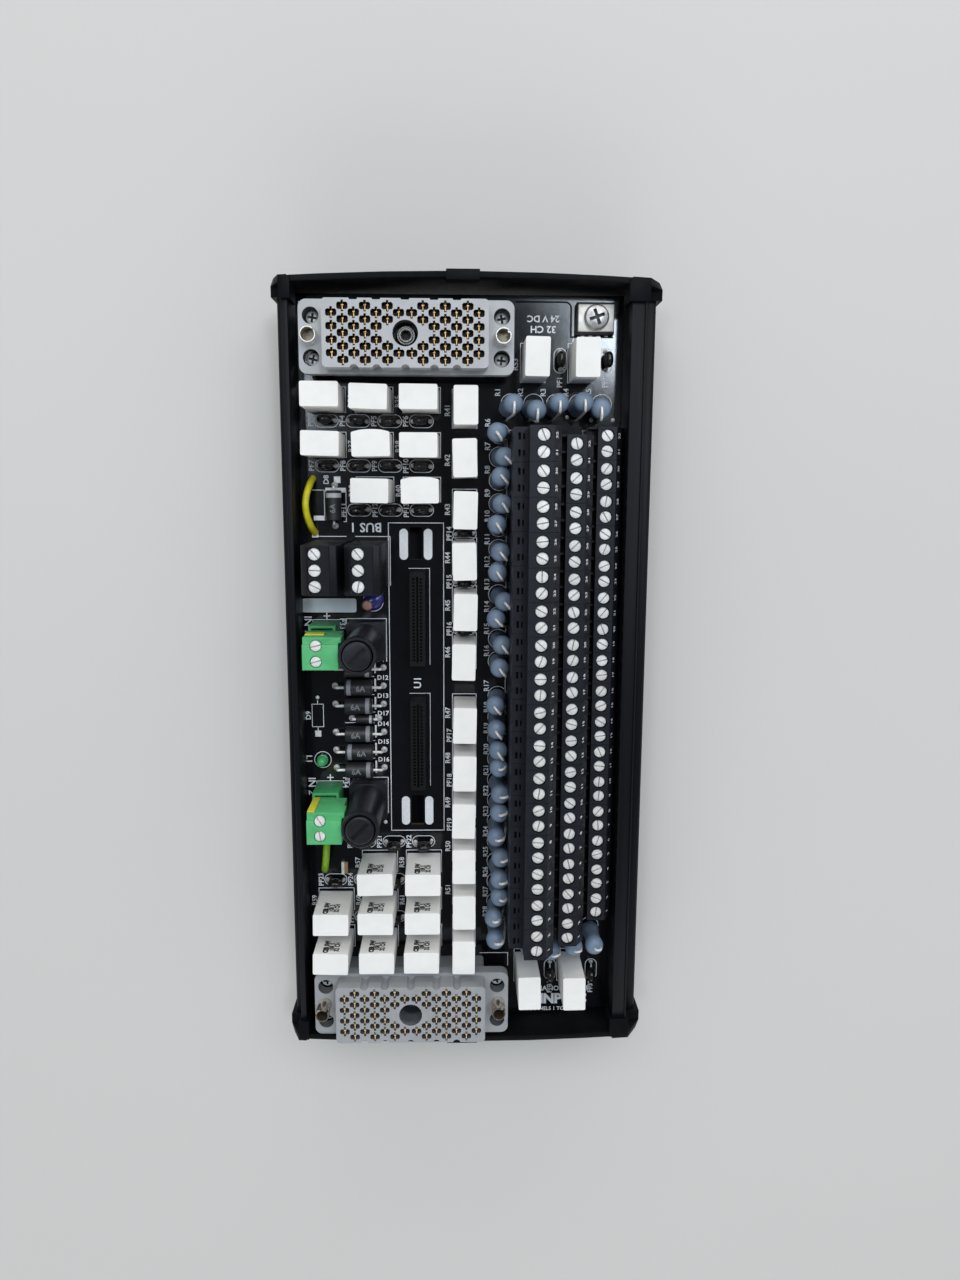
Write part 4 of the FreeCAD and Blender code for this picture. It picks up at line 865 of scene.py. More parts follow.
def terminal_block():
    """One block with its upper tier's top edge at zero Y."""
    low_x = box_mm("terminal_blocks")[0].x
    parts = []
    for name, start_x, end_x, top in tiers():
        shift = TIER_SHIFT[name]
        outline = tier_outline(name, low_x, start_x, end_x, top)[::-1]
        tier = add_prism(bmesh.new(), outline, -shift, -shift + BLOCK_LENGTH, UPRIGHT)
        bevel(tier, BLOCK_EDGE)
        tool = bmesh.new()
        ribs = bmesh.new()
        for pole in POLES:
            y = shift - pole
            seam = y - HALF_PITCH
            rib = y + HALF_PITCH
            add_well(tool, SCREW_WELL, 28, (end_x - SCREW_INSET, y), top, SCREW_WELL_DEPTH)
            add_box(tool, (end_x - ENTRY_DEPTH, y - ENTRY_HALF, top - ENTRY_DROP[0]),
                    (end_x + PAST, y + ENTRY_HALF, top - ENTRY_DROP[1]))
            add_box(tool, (end_x - SEAM_RUN, seam - SEAM_HALF, top - SEAM_DEPTH),
                    (end_x + PAST, seam + SEAM_HALF, top + PAST))
            if name != "upper":
                add_box(ribs, (start_x - RIB_SINK, rib - RIB_HALF, top - TRENCH[1] - RIB_FOOT),
                        (start_x + TRENCH[0] + RIB_SINK, rib + RIB_HALF, top - RIB_DROP))
                continue
            for inset, half in TEST_SLOTS:
                add_slot(tool, low_x + inset, y, half, LEDGE_TOP, TEST_SLOT_DEPTH)
        parts += [carve(tier, tool), ribs]
    return join(*parts)


def terminal_numbers(rows):
    """Pole numbers on the sloping faces, counted from the foot of the board up, reading along the row."""
    words = []
    slope = math.atan2(LABEL_DROP, LABEL_RUN)
    lift = Vector((math.sin(slope), 0, math.cos(slope))) * PRINT_RISE
    facing = Matrix.Rotation(slope, 4, "Y") @ Matrix.Rotation(QUARTER, 4, "Z")
    for name, _, end_x, top in tiers():
        spots = sorted(row + TIER_SHIFT[name] - pole for row in rows for pole in POLES)
        for n, y in enumerate(spots, start=1):
            middle = Vector((end_x - LABEL_RUN * (1 - NUMBER_DOWN), y, top - LABEL_DROP * NUMBER_DOWN))
            words.append((f"{n}", NUMBER_SIZE, Matrix.Translation(middle + lift) @ facing, LETTER_WEIGHT))
    return words


def terminal_row():
    rows = [high.y - TIER_SHIFT["lower"] for _, high, _ in islands("terminal_blocks")]
    blocks = spread(terminal_block(), [at(0, row) for row in rows])
    add_words(blocks, terminal_numbers(rows), 1)
    piece("terminal_block_row", blocks, "terminal_blocks", TERMINAL, PRINT)


def slotted_screw(radius):
    """A flat screw head with a straight slot, its face at zero."""
    profile = [(radius * 0.9, -1.2), (radius, -1.0), (radius, -0.22), (radius * 0.93, -0.05),
               (radius * 0.6, 0.0), (0, 0.02)]
    slot = add_slot(bmesh.new(), 0, 0, (radius + PAST, SLOT_HALF), 0, SLOT_DEPTH)
    head = carve(add_lathe(bmesh.new(), profile, 28), slot)
    # The slot's floor takes the piece's second material, a darker colour painted as shade.
    paint(head, 1, lambda spot, normal: normal.z > LEVEL_RISE and spot.z < SLACK - SLOT_DEPTH)
    return head


def slotted_screws(name, node):
    """Screw heads sunk in their wells, each at a chance turn."""
    boxes = islands(node)
    places = [over(centre, low.z - SCREW_SUNK, random.uniform(0, math.pi)) @ tilted(SCREW_TILT)
              for low, _, centre in boxes]
    radius = (boxes[0][1].y - boxes[0][0].y) / 2
    piece(name, spread(slotted_screw(radius), places), node, SCREW, SLOT_PAINTED_SHADE)


terminal_row()
for tier in ("upper", "middle", "lower"):
    slotted_screws(f"{tier}_tier_heads", f"{tier}_tier_screws")


# Bus terminals

BUS_EDGE = 0.3
BUS_SEAM_INSET = 2.25
BUS_SEAM_HALF = 0.15
BUS_SEAM_DEPTH = 0.3


def bus_terminal(side):
    node = f"{side}_bus_terminal"
    low, high, centre = box_mm(node)
    body = bevel(cad_copy(node), BUS_EDGE)
    wells = bmesh.new()
    for screw in middles("bus_terminal_screws"):
        if low.x < screw.x < high.x:
            add_well(wells, SCREW_WELL, 28, screw, high.z, SCREW_WELL_DEPTH)
    half = (BUS_SEAM_HALF, (high.y - low.y) / 2 + PAST)
    add_slot(wells, high.x - BUS_SEAM_INSET, centre.y, half, high.z, BUS_SEAM_DEPTH)
    piece(f"{side}_bus_moulding", carve(body, wells), node, BUS)


for side in ("left", "right"):
    bus_terminal(side)
slotted_screws("bus_terminal_heads", "bus_terminal_screws")


# Ceramic resistors

CERAMIC_EDGE = 0.55
CORNER_STEPS = 3
STAND_OFF = 0.8
LEG_REACH = 3.2
LEG = 0.4
LEG_SINK = 0.2
CASE_TURN = 0.03
CEMENT_BULGE = 0.7
STAMP_SIZE = 2.3
STAMP_DROP = 5.0
STAMPS = (("CER 5W", -1.9, 0.085), ("10R 5", 0.0, 0.055), ("32 CH", 1.8, 0.055))


def ceramic_case(size, bulge):
    """A rough ceramic case on two wires, its middle at zero in X and Y and its foot at zero."""
    outline = rounded_rectangle(size.x, size.y, CERAMIC_EDGE, CORNER_STEPS)
    if bulge:
        swell = [(size.x / 2 * math.cos(a) * 0.8, size.y / 2 + bulge * math.sin(a))
                 for a in (math.pi * n / 8 for n in range(1, 8))]
        outline[CORNER_STEPS + 1:CORNER_STEPS + 1] = swell
    case = bevel(add_prism(bmesh.new(), outline, STAND_OFF, size.z), CERAMIC_EDGE * 0.8, 3, SQUARE)
    for side in SIDES:
        spot = (side * LEG_REACH, 0) if size.x > size.y else (0, side * LEG_REACH)
        add_prism(case, circle(LEG, 10, spot), 0, STAND_OFF + LEG_SINK, index=1)
    return case


def stamp_words(size):
    """Three short lines of print on the side of a case that faces +Y."""
    side = Matrix.Translation((0, size.y / 2 + PRINT_RISE, size.z)) @ Matrix.Rotation(-QUARTER, 4, "X")
    return [(line, STAMP_SIZE, side @ at(x, STAMP_DROP, 0, QUARTER), weight) for line, x, weight in STAMPS]


def ceramic_group(group, lean, bulged=(), stamped=False):
    node = f"{group}_ceramic_resistors"
    boxes = islands(node)
    size = boxes[0][1] - boxes[0][0]
    parts = []
    for n, (low, _, centre) in enumerate(boxes):
        place = over(centre, low.z, random.uniform(-CASE_TURN, CASE_TURN)) @ tilted(lean)
        case = ceramic_case(size, CEMENT_BULGE if n in bulged else 0)
        if stamped:
            add_words(case, stamp_words(size), 2)
        parts.append(spread(case, [place]))
    piece(f"{group}_ceramic_cases", join(*parts), node, CERAMIC, TINNED, STAMP)


ceramic_group("upper", 0.022, bulged=(4, 7))
ceramic_group("lower", 0.02, stamped=True)
ceramic_group("row", 0.014)
ceramic_group("edge", 0.014)


# Standing resistors and their wires

WIRE = 0.45
WIRE_SINK = 0.3
WIRE_FOOT = 1.6
LEAN = 0.1
LACQUER_COAT = 0.15
TOP_ROW = 90.0
SIDEWAYS_FROM = -30.0
FOOT_ROW = -95.0
FOOT_TIP = (0.05, 0.16)


def load_body(radius, height):
    """A lacquered body, slimmer between its rounded ends."""
    waist = radius * 0.84
    profile = [(0, 1.0), (radius * 0.55, 1.05), (radius * 0.88, 1.6), (radius, 3.0), (radius * 0.94, 4.6),
               (waist, 6.2), (waist, height - 6.2), (radius * 0.94, height - 4.6), (radius, height - 3.0),
               (radius * 0.94, height - 1.6), (radius * 0.74, height - 0.6), (radius * 0.4, height - 0.1),
               (0, height)]
    return add_lathe(bmesh.new(), profile, 28)


def load_lean(y):
    """Chance lean of a standing resistor; those at the foot of the board tip outwards."""
    if y < FOOT_ROW:
        return Matrix.Rotation(random.uniform(*FOOT_TIP), 4, "X") @ tilted(LEAN / 2)
    return tilted(LEAN)


def wire_bend(y):
    """Where a top wire bends to: forwards in the top row, slanting below it, sideways further down."""
    if y > TOP_ROW:
        return Vector((random.uniform(-0.2, 0.4), -3.4, 0))
    if y > SIDEWAYS_FROM:
        return Vector((random.uniform(1.5, 2.3), -2.3, 0))
    return Vector((random.uniform(2.0, 2.8), random.uniform(-0.3, 0.7), 0))


def bent_wire(top, foot, towards, height):
    """A wire that leaves the top of a body, bends over and runs down beside it to the board."""
    bends = [(top, 0, 0), (top, 0, 0.8), (top, 0.4, 1.3), (top, 0.9, 0.8), (top, 1.05, -1.2),
             (foot, 1.1, height * 0.4), (foot, 1.1, 0)]
    return smooth_line([start + towards * share + Vector((0, 0, rise)) for start, share, rise in bends], 5)


def load_resistors():
    boxes = islands("load_resistors")
    first_low, first_high, _ = boxes[0]
    radius = (first_high.y - first_low.y) / 2 + LACQUER_COAT
    height = first_high.z - first_low.z
    places = []
    wires = bmesh.new()
    for low, _, centre in boxes:
        foot = Vector((centre.x, centre.y, low.z))
        place = Matrix.Translation(foot) @ load_lean(centre.y)
        places.append(place)
        top = place @ Vector((0, 0, height - WIRE_SINK))
        add_tube(wires, bent_wire(top, foot, wire_bend(centre.y), height), WIRE, 10)
        add_tube(wires, [foot, place @ Vector((0, 0, WIRE_FOOT))], WIRE, 8)
    piece("load_resistor_bodies", spread(load_body(radius, height), places), "load_resistors", LACQUER)
    piece("load_resistor_bent_wires", wires, "load_resistor_wires", TINNED)


load_resistors()


# Resettable fuses

LEAD = 0.32
LEAD_REACH = 3.0
BEAD_LIFT = 1.2
BEAD_POWER = 2.6
BEAD_TURN = 0.06
BEAD_TILT = 0.1


def tablet(size):
    """A dipped bead on two wires, its foot at zero."""
    body = bmesh.new()
    wide, thin = max(size.x, size.y), min(size.x, size.y)
    tall = size.z - BEAD_LIFT
    bmesh.ops.create_uvsphere(body, u_segments=24, v_segments=14, radius=1)
    for vert in body.verts:
        x, y, z = vert.co
        swell = 1 / (abs(x) ** BEAD_POWER + abs(y) ** BEAD_POWER + abs(z) ** BEAD_POWER) ** (1 / BEAD_POWER)
        vert.co = Vector((x * wide, y * thin, z * tall)) * swell / 2
        vert.co.z += BEAD_LIFT + tall / 2
    for side in SIDES:
        reach = side * LEAD_REACH
        line = [(reach, 0, 0), (reach, 0, 1.0), (reach * 0.92, 0, 2.0), (reach * 0.6, 0, 3.0)]
        add_tube(body, smooth_line(line, 4), LEAD, 8, 1)
        add_lathe(body, [(0.8, 0.02), (0.62, 0.22), (0.4, 0.6), (0, 0.65)], 14, at(reach, 0), 1)
    if size.y > size.x:
        bmesh.ops.rotate(body, cent=(0, 0, 0), matrix=Matrix.Rotation(QUARTER, 3, "Z"), verts=body.verts[:])
    return body


def tablets():
    groups = {}
    for low, high, centre in islands("resettable_fuses"):
        size = high - low
        groups.setdefault(size.x > size.y, []).append((low, size, centre))
    parts = []
    for beads in groups.values():
        places = [over(centre, low.z, random.uniform(-BEAD_TURN, BEAD_TURN)) @ tilted(BEAD_TILT)
                  for low, _, centre in beads]
        parts.append(spread(tablet(beads[0][1]), places))
    piece("resettable_fuse_tablets", join(*parts), "resettable_fuses", TABLET, TINNED)


tablets()


# Diodes

# Name of the bodies, node, end that each band is near, and material of the bands.
DIODES = (("power_diode_bodies", "power_diodes", (1, -1, 1, 1, -1, 1), BAND),
          ("small_diode_body", "small_diode", (1,), PALE_BAND),
          ("link_diode_body", "link_diode", (1,), PALE_BAND))


def lying_diode(length, radius, band_side, marked):
    """A moulded diode along X about zero, with a paler band near one end and faint print on top."""
    half = length / 2
    along = Matrix.Rotation(QUARTER, 4, "Y")
    profile = [(radius * 0.9, -half), (radius, -half + 0.3), (radius, half - 0.3), (radius * 0.9, half)]
    body = add_lathe(bmesh.new(), profile, 32, along)
    band = [(radius + 0.03, 0), (radius + 0.03, length * 0.15)]
    start = half - length * 0.24 if band_side > 0 else -half + length * 0.09
    add_lathe(body, band, 32, along @ Matrix.Translation((0, 0, start)), 1)
    if marked:
        place = at(-band_side * length * 0.1, 0, radius + PRINT_RISE)
        add_words(body, [("6A", radius, place, LETTER_WEIGHT)], 2)
    return body


def diodes():
    for name, node, band_sides, band in DIODES:
        parts = []
        for (low, high, centre), band_side in zip(islands(node), band_sides):
            size = high - low
            turn = 0 if size.x > size.y else QUARTER
            body = lying_diode(max(size.x, size.y), size.z / 2, band_side, node != "small_diode")
            parts.append(spread(body, [over(centre, centre.z, turn)]))
        piece(name, join(*parts), node, EPOXY, band, BODY_MARK)


def diode_wires():
    """Wires that run outwards from the diodes' ends and bend down to soldered pads."""
    wires = bmesh.new()
    for low, high, centre in islands("diode_wires"):
        size = high - low
        if size.x > size.y:
            run, radius = size.x, 0.5
            outward = Vector((math.copysign(1, centre.x - box_mm("power_diodes")[2].x), 0, 0))
        else:
            run, radius = size.y, 0.4
            outward = Vector((0, math.copysign(1, centre.y - box_mm("link_diode")[2].y), 0))
        middle = Vector((centre.x, centre.y, 0))
        inner = middle - outward * run / 2
        outer = middle + outward * (run / 2 - 0.4)
        top = Vector((0, 0, high.z - 0.5))
        foot = Vector((0, 0, low.z))
        line = [inner - outward * 0.4 + top, inner + outward * run * 0.4 + top, outer - outward * 0.7 + top,
                outer + top * 0.3 + foot * 0.7, outer + foot]
        add_tube(wires, smooth_line(line, 5), radius, 10)
        joint = [(1.15, low.z), (1.1, low.z + 0.15), (0.65, low.z + 0.7), (0, low.z + 0.9)]
        add_lathe(wires, joint, 16, over(outer))
    piece("diode_bent_wires", wires, "diode_wires", TINNED)


diodes()
diode_wires()


# Fuse holders and caps

BARREL_GAP = 0.35
BARREL_WALL = 1.0
FUSE_FOOT = 5.0
FUSE_CORNER = 1.2
FUSE_EDGE = 0.4
CAP_SLOT = (3.6, 0.65)
CAP_SLOT_DEPTH = 1.3
CAP_TURN = math.pi / 4
END_CAP = 5.0


def fuse_barrel(end, cap_radius):
    """A square foot under a round barrel that is open at the top."""
    low, high, centre = box_mm(f"{end}_fuse_holder")
    width = high.x - low.x
    top = high.z
    bore = cap_radius + BARREL_GAP
    radius = bore + BARREL_WALL
    outline = rounded_rectangle(width, width, FUSE_CORNER, 4, centre)
    barrel = bevel(add_prism(bmesh.new(), outline, low.z, low.z + FUSE_FOOT), FUSE_EDGE, 2, SQUARE)
    profile = [(radius + 0.35, low.z + 4.5), (radius + 0.25, low.z + 7), (radius, top - 9),
               (radius + 0.02, top - 3.2), (radius + 0.18, top - 3.0), (radius + 0.18, top - 0.4),
               (radius - 0.1, top), (bore + 0.15, top), (bore, top - 0.3), (bore, low.z + 6), (0, low.z + 6)]
    add_lathe(barrel, profile, 56, over(centre))
    piece(f"{end}_fuse_barrel", barrel, f"{end}_fuse_holder", FUSE)


def fuse_cap(end, centre, low, high, radius):
    """A round cap with a slot for a blade."""
    profile = [(radius * 0.95, low.z), (radius, low.z + 0.5), (radius, high.z - 0.5),
               (radius - 0.4, high.z - 0.06), (radius - 0.9, high.z), (0, high.z)]
    cap = add_lathe(bmesh.new(), profile, 48, over(centre))
    slot = add_slot(bmesh.new(), 0, 0, CAP_SLOT, high.z, CAP_SLOT_DEPTH, over(centre, 0, CAP_TURN))
    piece(f"{end}_fuse_cap_turned", carve(cap, slot), f"{end}_fuse_cap", FUSE, body=f"{end}_cap")


def fuse_cartridge(end, centre):
    """A glass tube with a metal cap at each end."""
    low, high, _ = box_mm(f"{end}_fuse_link")
    radius = (high.x - low.x) / 2
    rim = radius - 0.1
    place = over(centre)
    link = add_lathe(bmesh.new(), [(radius - 0.2, low.z + 4), (radius - 0.2, high.z - 4)], 24, place)
    for z in (low.z, high.z - END_CAP):
        profile = [(rim, z), (radius, z + 0.3), (radius, z + END_CAP - 0.3), (rim, z + END_CAP)]
        add_lathe(link, profile, 24, place, 1)
    piece(f"{end}_fuse_cartridge", link, f"{end}_fuse_link", GLASS, NICKEL)


def fuse_holder(end):
    centre = box_mm(f"{end}_fuse_holder")[2]
    cap_low, cap_high, _ = box_mm(f"{end}_fuse_cap")
    cap_radius = (cap_high.x - cap_low.x) / 2
    fuse_barrel(end, cap_radius)
    fuse_cap(end, centre, cap_low, cap_high, cap_radius)
    fuse_cartridge(end, centre)


for end in ENDS:
    fuse_holder(end)


# Supply connectors

SUPPLY_EDGE = 0.25
FLAG_EDGE = 0.08
PIN_EDGE = 0.15
PLUG_SCREW = 1.75


def supply(end):
    """A header on the board, and a plug with its screws and marker that pull off together."""
    body = f"{end}_plug"
    dressed(f"{end}_header_shroud", f"{end}_supply_header", SUPPLY_EDGE, DEEP_GREEN)
    dressed(f"{end}_plug_housing", f"{end}_supply_plug", SUPPLY_EDGE, GREEN, body)
    node = f"{end}_plug_screws"
    places = [over(centre, high.z, random.uniform(0, math.pi)) for _, high, centre in islands(node)]
    piece(f"{end}_plug_screw_heads", spread(slotted_screw(PLUG_SCREW), places), node, SCREW, SLOT_PAINTED_SHADE, body=body)
    dressed(f"{end}_plug_flag", f"{end}_plug_marker", FLAG_EDGE, YELLOW, body)


for end in ENDS:
    supply(end)
dressed("supply_header_pins", "supply_pins", PIN_EDGE, TINNED)


# Module sockets

SOCKET_EDGE = 0.25
SOCKET_POLES = 25
SOCKET_END = 1.5
SOCKET_ROW = 1.25
POLE_HOLE = (0.45, 0.36)
POLE_DEPTH = 1.6
GROOVE_HALF = 0.35
GROOVE_INSET = 1.2
GROOVE_DEPTH = 2.2


def module_socket(end):
    """A strip with two rows of square holes and a groove between them."""
    node = f"{end}_module_socket"
    low, high, centre = box_mm(node)
    strip = bevel(add_box(bmesh.new(), low, high), SOCKET_EDGE)
    tool = bmesh.new()
    length = high.y - low.y
    pitch = (length - 2 * SOCKET_END) / SOCKET_POLES
    for side in SIDES:
        for n in range(SOCKET_POLES):
            y = low.y + SOCKET_END + pitch * (n + 0.5)
            add_slot(tool, centre.x + side * SOCKET_ROW, y, POLE_HOLE, high.z, POLE_DEPTH)
    add_slot(tool, centre.x, centre.y, (GROOVE_HALF, length / 2 - GROOVE_INSET), high.z, GROOVE_DEPTH)
    piece(f"{end}_socket_strip", carve(strip, tool), node, SOCKET)


for end in ENDS:
    module_socket(end)


# Lamp, capacitor, earth clamp, chip and wire links

CAPACITOR_SHIFT = Vector((-0.8, -0.5, 0))
CAPACITOR_SWELL = (1.27, 0.86)
CAPACITOR_TURN = 0.5
BARE_SPOT = Vector((-2.6, -1.6, 0))
CLAMP_EDGE = 0.3
CLAMP_FINGERS = 4
FINGER_START = 2.4
FINGER_PITCH = 2.6
FINGER_HALF = 0.6
FINGER_RUN = (-0.35, 0.3)
FINGER_HEIGHT = 1.3
EARTH_RECESS = (1.1, 1.5)
EARTH_TURN = 0.35
CHIP_EDGE = 0.15
CHIP_PLATED = 0.42
CHIP_WRAP = (0.1, 0.15, 0.05)


def status_lamp():
    low, high, centre = box_mm("status_lamp")
    radius = (high.x - low.x) / 2
    top = high.z
    profile = [(radius + 0.2, low.z + 0.3), (radius + 0.2, low.z + 1.1), (radius, low.z + 1.2),
               (radius, top - radius), (radius * 0.92, top - radius * 0.55),
               (radius * 0.7, top - radius * 0.22), (radius * 0.38, top - radius * 0.04), (0, top)]
    piece("lamp_lens", add_lathe(bmesh.new(), profile, 32, over(centre)), "status_lamp", LAMP)


def dipped_capacitor():
    """A dipped bead, turned on the board, with a bare copper spot on top."""
    low, high, centre = box_mm("dipped_capacitor")
    size = (high - low) / 2
    blob = bmesh.new()
    bmesh.ops.create_uvsphere(blob, u_segments=28, v_segments=16, radius=1)
    verts = blob.verts[:]
    bmesh.ops.scale(blob, vec=(size.x * CAPACITOR_SWELL[0], size.y * CAPACITOR_SWELL[1], size.z), verts=verts)
    bmesh.ops.rotate(blob, cent=(0, 0, 0), matrix=Matrix.Rotation(CAPACITOR_TURN, 3, "Z"), verts=verts)
    bmesh.ops.translate(blob, vec=centre + CAPACITOR_SHIFT, verts=verts)
    top = high.z
    profile = [(1.9, top - 1.6), (1.85, top - 0.3), (1.4, top + 0.1), (0, top + 0.25)]
    spot = add_lathe(bmesh.new(), profile, 24, over(centre + BARE_SPOT), 1)
    piece("capacitor_coat", join(blob, spot), "dipped_capacitor", DIPPED, COPPER)


def earth_clamp():
    """A clamp with soldered fingers along one side, its plate and its screw."""
    low, _, _ = box_mm("earth_clamp")
    cage = bevel(cad_copy("earth_clamp"), CLAMP_EDGE)
    for n in range(CLAMP_FINGERS):
        x = low.x + FINGER_START + FINGER_PITCH * n
        add_box(cage, (x - FINGER_HALF, low.y + FINGER_RUN[0], low.z),
                (x + FINGER_HALF, low.y + FINGER_RUN[1], low.z + FINGER_HEIGHT), index=1)
    piece("earth_clamp_cage", cage, "earth_clamp", EPOXY, SOLDER)
    dressed("earth_clamp_washer_plate", "earth_clamp_plate", CLAMP_EDGE, PLATED)
    low, high, centre = box_mm("earth_screw")
    head = cross_head((high.x - low.x) / 2, high.z - low.z, *EARTH_RECESS)
    piece("earth_screw_head", spread(head, [over(centre, low.z, EARTH_TURN)]), "earth_screw", STEEL, HOLLOW_PAINTED_SHADE)


def wire_link(kind, material, radius, start, finish, rise, bulge):
    """A soldered wire link that stands up from the board, arches over and stands down again."""
    start = Vector((*start, BOARD_TOP))
    finish = Vector((*finish, BOARD_TOP))
    line = [start]
    for t in (0.12, 0.3, 0.5, 0.7, 0.88):
        swing = math.sin(math.pi * t)
        line.append(start.lerp(finish, t) + Vector((bulge * swing, 0, rise * swing ** 0.6)))
    sleeve = add_tube(bmesh.new(), smooth_line(line + [finish], 8), radius, 14)
    piece(f"{kind}_link_sleeve", sleeve, f"{kind}_wire_link", material)


def chip():
    """A chip resistor with its plated end beside the brown glaze."""
    low, high, _ = box_mm("chip_resistor")
    body = bevel(cad_copy("chip_resistor"), CHIP_EDGE)
    plated = low.x + (high.x - low.x) * CHIP_PLATED
    x, y, z = CHIP_WRAP
    add_box(body, (low.x - x, low.y - y, low.z), (plated, high.y + y, high.z + z), index=1)
    piece("chip_body", body, "chip_resistor", CHIP, SOLDER)


status_lamp()
dipped_capacitor()
earth_clamp()
wire_link("yellow", SLEEVE_YELLOW, 1.15, (-52.5, 67.7), (-52.2, 49.1), rise=6.4, bulge=-1.9)
wire_link("earth", SLEEVE_GREEN, 1.25, (-49.9, -57.0), (-51.3, -72.7), rise=8.6, bulge=0.9)
chip()


# Circuit board and its print

MODULE = (-27.05, -58.05, -8.05, 52.65)
OPENINGS = ((-17.6, 45.3), (-17.6, -50.6))
CATCH_MARK = (2.95, 10.7)
CATCH_MARK_OFFSET = 4.2
TABLET_MARK = (8.1, 4.2)
OVAL_FLAT = 0.01
LOAD_MARK = 3.4
LAMP_MARK = 2.95
CAPACITOR_MARK = 3.5
LINK_MARK = (-52.9, 53.4, -48.8, 63.7)
SPARE_MARK = (-54.75, -19.4, -50.75, -11.2)
SPARE_LEAD = 1.4
CONNECTOR_MARK = ((5.0, -105.8), (15.5, -105.8), (15.5, -111.0))
PLUS = 1.15
PLUS_GAP = 0.22
PLUS_LINE = 0.4
TOP_LABEL = (-3.2, 5.6)
TOP_RING = (1.2, 1.7)
SIDE_LABEL = (-3.9, 3.6)
EDGE_ROWS = 100.0
FIRST_CASE = 33
FIRST_DIODE = 11
FIRST_FUSE = 33
DIODE_LABEL_X = -29.6
WRITING_STRIP = (18.9, 4.9)
STRIP_PLACE = (-47.9, 24.0)
ROUND_PADS = ((-52.75, -8.8), (-29.2, -54.9), (42.2, 87.6), (49.6, 87.6), (34.0, 88.4))
SQUARE_PADS = ((-52.75, -21.9), (-44.3, 67.2), (-52.2, 48.7))
PAD_HALF = 1.1
PAD_RISE = 0.12
WORD = 2.5
BIG_WORD = 3.6
TITLE_WEIGHT = 0.05
UP = QUARTER
DOWN = -QUARTER
INVERTED = math.pi
# Places of the board's materials in its list, after the mask.
EDGE, INK, TIN, GAP, PAPER = range(1, 6)


def word(text, x, y, turn=UP, size=WORD, weight=LETTER_WEIGHT):
    return text, size, at(x, y, MARK_LEVEL, turn), weight


def oval(size, centre):
    """Outline of a mark with round ends."""
    return rounded_rectangle(*size, min(size) / 2 - OVAL_FLAT, 8, centre)


def case_marks(marks, words):
    """Outlines of the ceramic cases and a number beside each."""
    groups = ("upper", "row", "edge", "lower")
    cases = [box for group in groups for box in islands(f"{group}_ceramic_resistors")]
    for number, (low, high, centre) in enumerate(cases, start=FIRST_CASE):
        add_ribbon(marks, rectangle(low.x - 0.3, low.y + 0.2, high.x + 0.3, high.y + 0.8), closed=True)
        spot = (centre.x - 0.5, low.y - 2.6) if abs(low.y) > EDGE_ROWS else (low.x - 1.9, centre.y)
        words.append(word(f"R{number}", *spot))


def tablet_marks(marks, words):
    """An oval round each resettable fuse and its number."""
    for number, (low, high, centre) in enumerate(islands("resettable_fuses"), start=1):
        size = TABLET_MARK if high.x - low.x > high.y - low.y else TABLET_MARK[::-1]
        add_ribbon(marks, oval(size, centre), closed=True)
        beside = (-size[0] / 2 - 1.2, 0) if size[0] > size[1] else (0, -size[1] / 2 - 2.9)
        words.append(word(f"PF{number}", centre.x + beside[0], centre.y + beside[1]))


def load_marks(marks, words):
    """A circle at the foot of each standing resistor and its number."""
    for number, (_, _, centre) in enumerate(islands("load_resistors"), start=1):
        beside, shift = (TOP_LABEL, TOP_RING) if centre.y > TOP_ROW else (SIDE_LABEL, (0, 0))
        add_ribbon(marks, circle(LOAD_MARK, 28, (centre.x + shift[0], centre.y + shift[1])), closed=True)
        words.append(word(f"R{number}", centre.x + beside[0], centre.y + beside[1]))


def diode_marks(marks, words):
    """Outlines of the lying diodes, with the band end filled."""
    lying = islands("power_diodes") + islands("small_diode")
    for number, (low, high, _) in enumerate(lying, start=FIRST_DIODE):
        add_ribbon(marks, [(low.x - 0.4, high.y + 0.7), (high.x + 0.5, high.y + 0.7)])
        add_patch(marks, rectangle(high.x + 0.5, low.y + 0.6, high.x + 1.1, high.y - 0.2))
        words.append(word(f"D{number}", DIODE_LABEL_X, high.y + 0.2, 0, 2.3))
    low, high, _ = box_mm("link_diode")
    add_ribbon(marks, [(high.x + 1.2, high.y), (high.x + 1.2, low.y - 0.4), (high.x + 0.2, low.y - 0.4)])
    add_patch(marks, rectangle(low.x - 0.6, high.y - 0.7, high.x + 1.2, high.y + 0.9))
    left, foot, right, top = LINK_MARK
    add_ribbon(marks, [(left, top), (right, top), (right, foot)])
    add_patch(marks, rectangle(left + 0.4, foot, right, foot + 1.6))
    words.append(word("D8", low.x - 0.2, high.y + 3.6))


def supply_marks(marks, words):
    """Outlines, plus signs and names of the supply connectors and fuses."""
    for n, end in enumerate(ENDS):
        low, high, centre = box_mm(f"{end}_supply_header")
        sign = high.y + 1.6
        add_ribbon(marks, [(low.x - 0.3, low.y), (low.x - 0.3, high.y + 0.3), (high.x + 0.2, high.y + 0.3)])
        add_ribbon(marks, [(centre.x - PLUS, sign), (centre.x + PLUS, sign)], PLUS_LINE)
        for side in SIDES:
            add_ribbon(marks, [(centre.x, sign + side * PLUS_GAP), (centre.x, sign + side * PLUS)], PLUS_LINE)
        words.append(word(f"IN {n + 1}", low.x - 2.1, high.y - 1.6, DOWN, BIG_WORD))
        low, high, _ = box_mm(f"{end}_fuse_holder")
        left, right, top = low.x - 0.4, high.x + 0.1, high.y + 0.9
        add_ribbon(marks, [(left, low.y + 6), (left, top), (right, top), (right, low.y + 0.9)])
        words.append(word(f"F{FIRST_FUSE + n}", low.x - 1.8, high.y - 1.0, DOWN, 2.8))


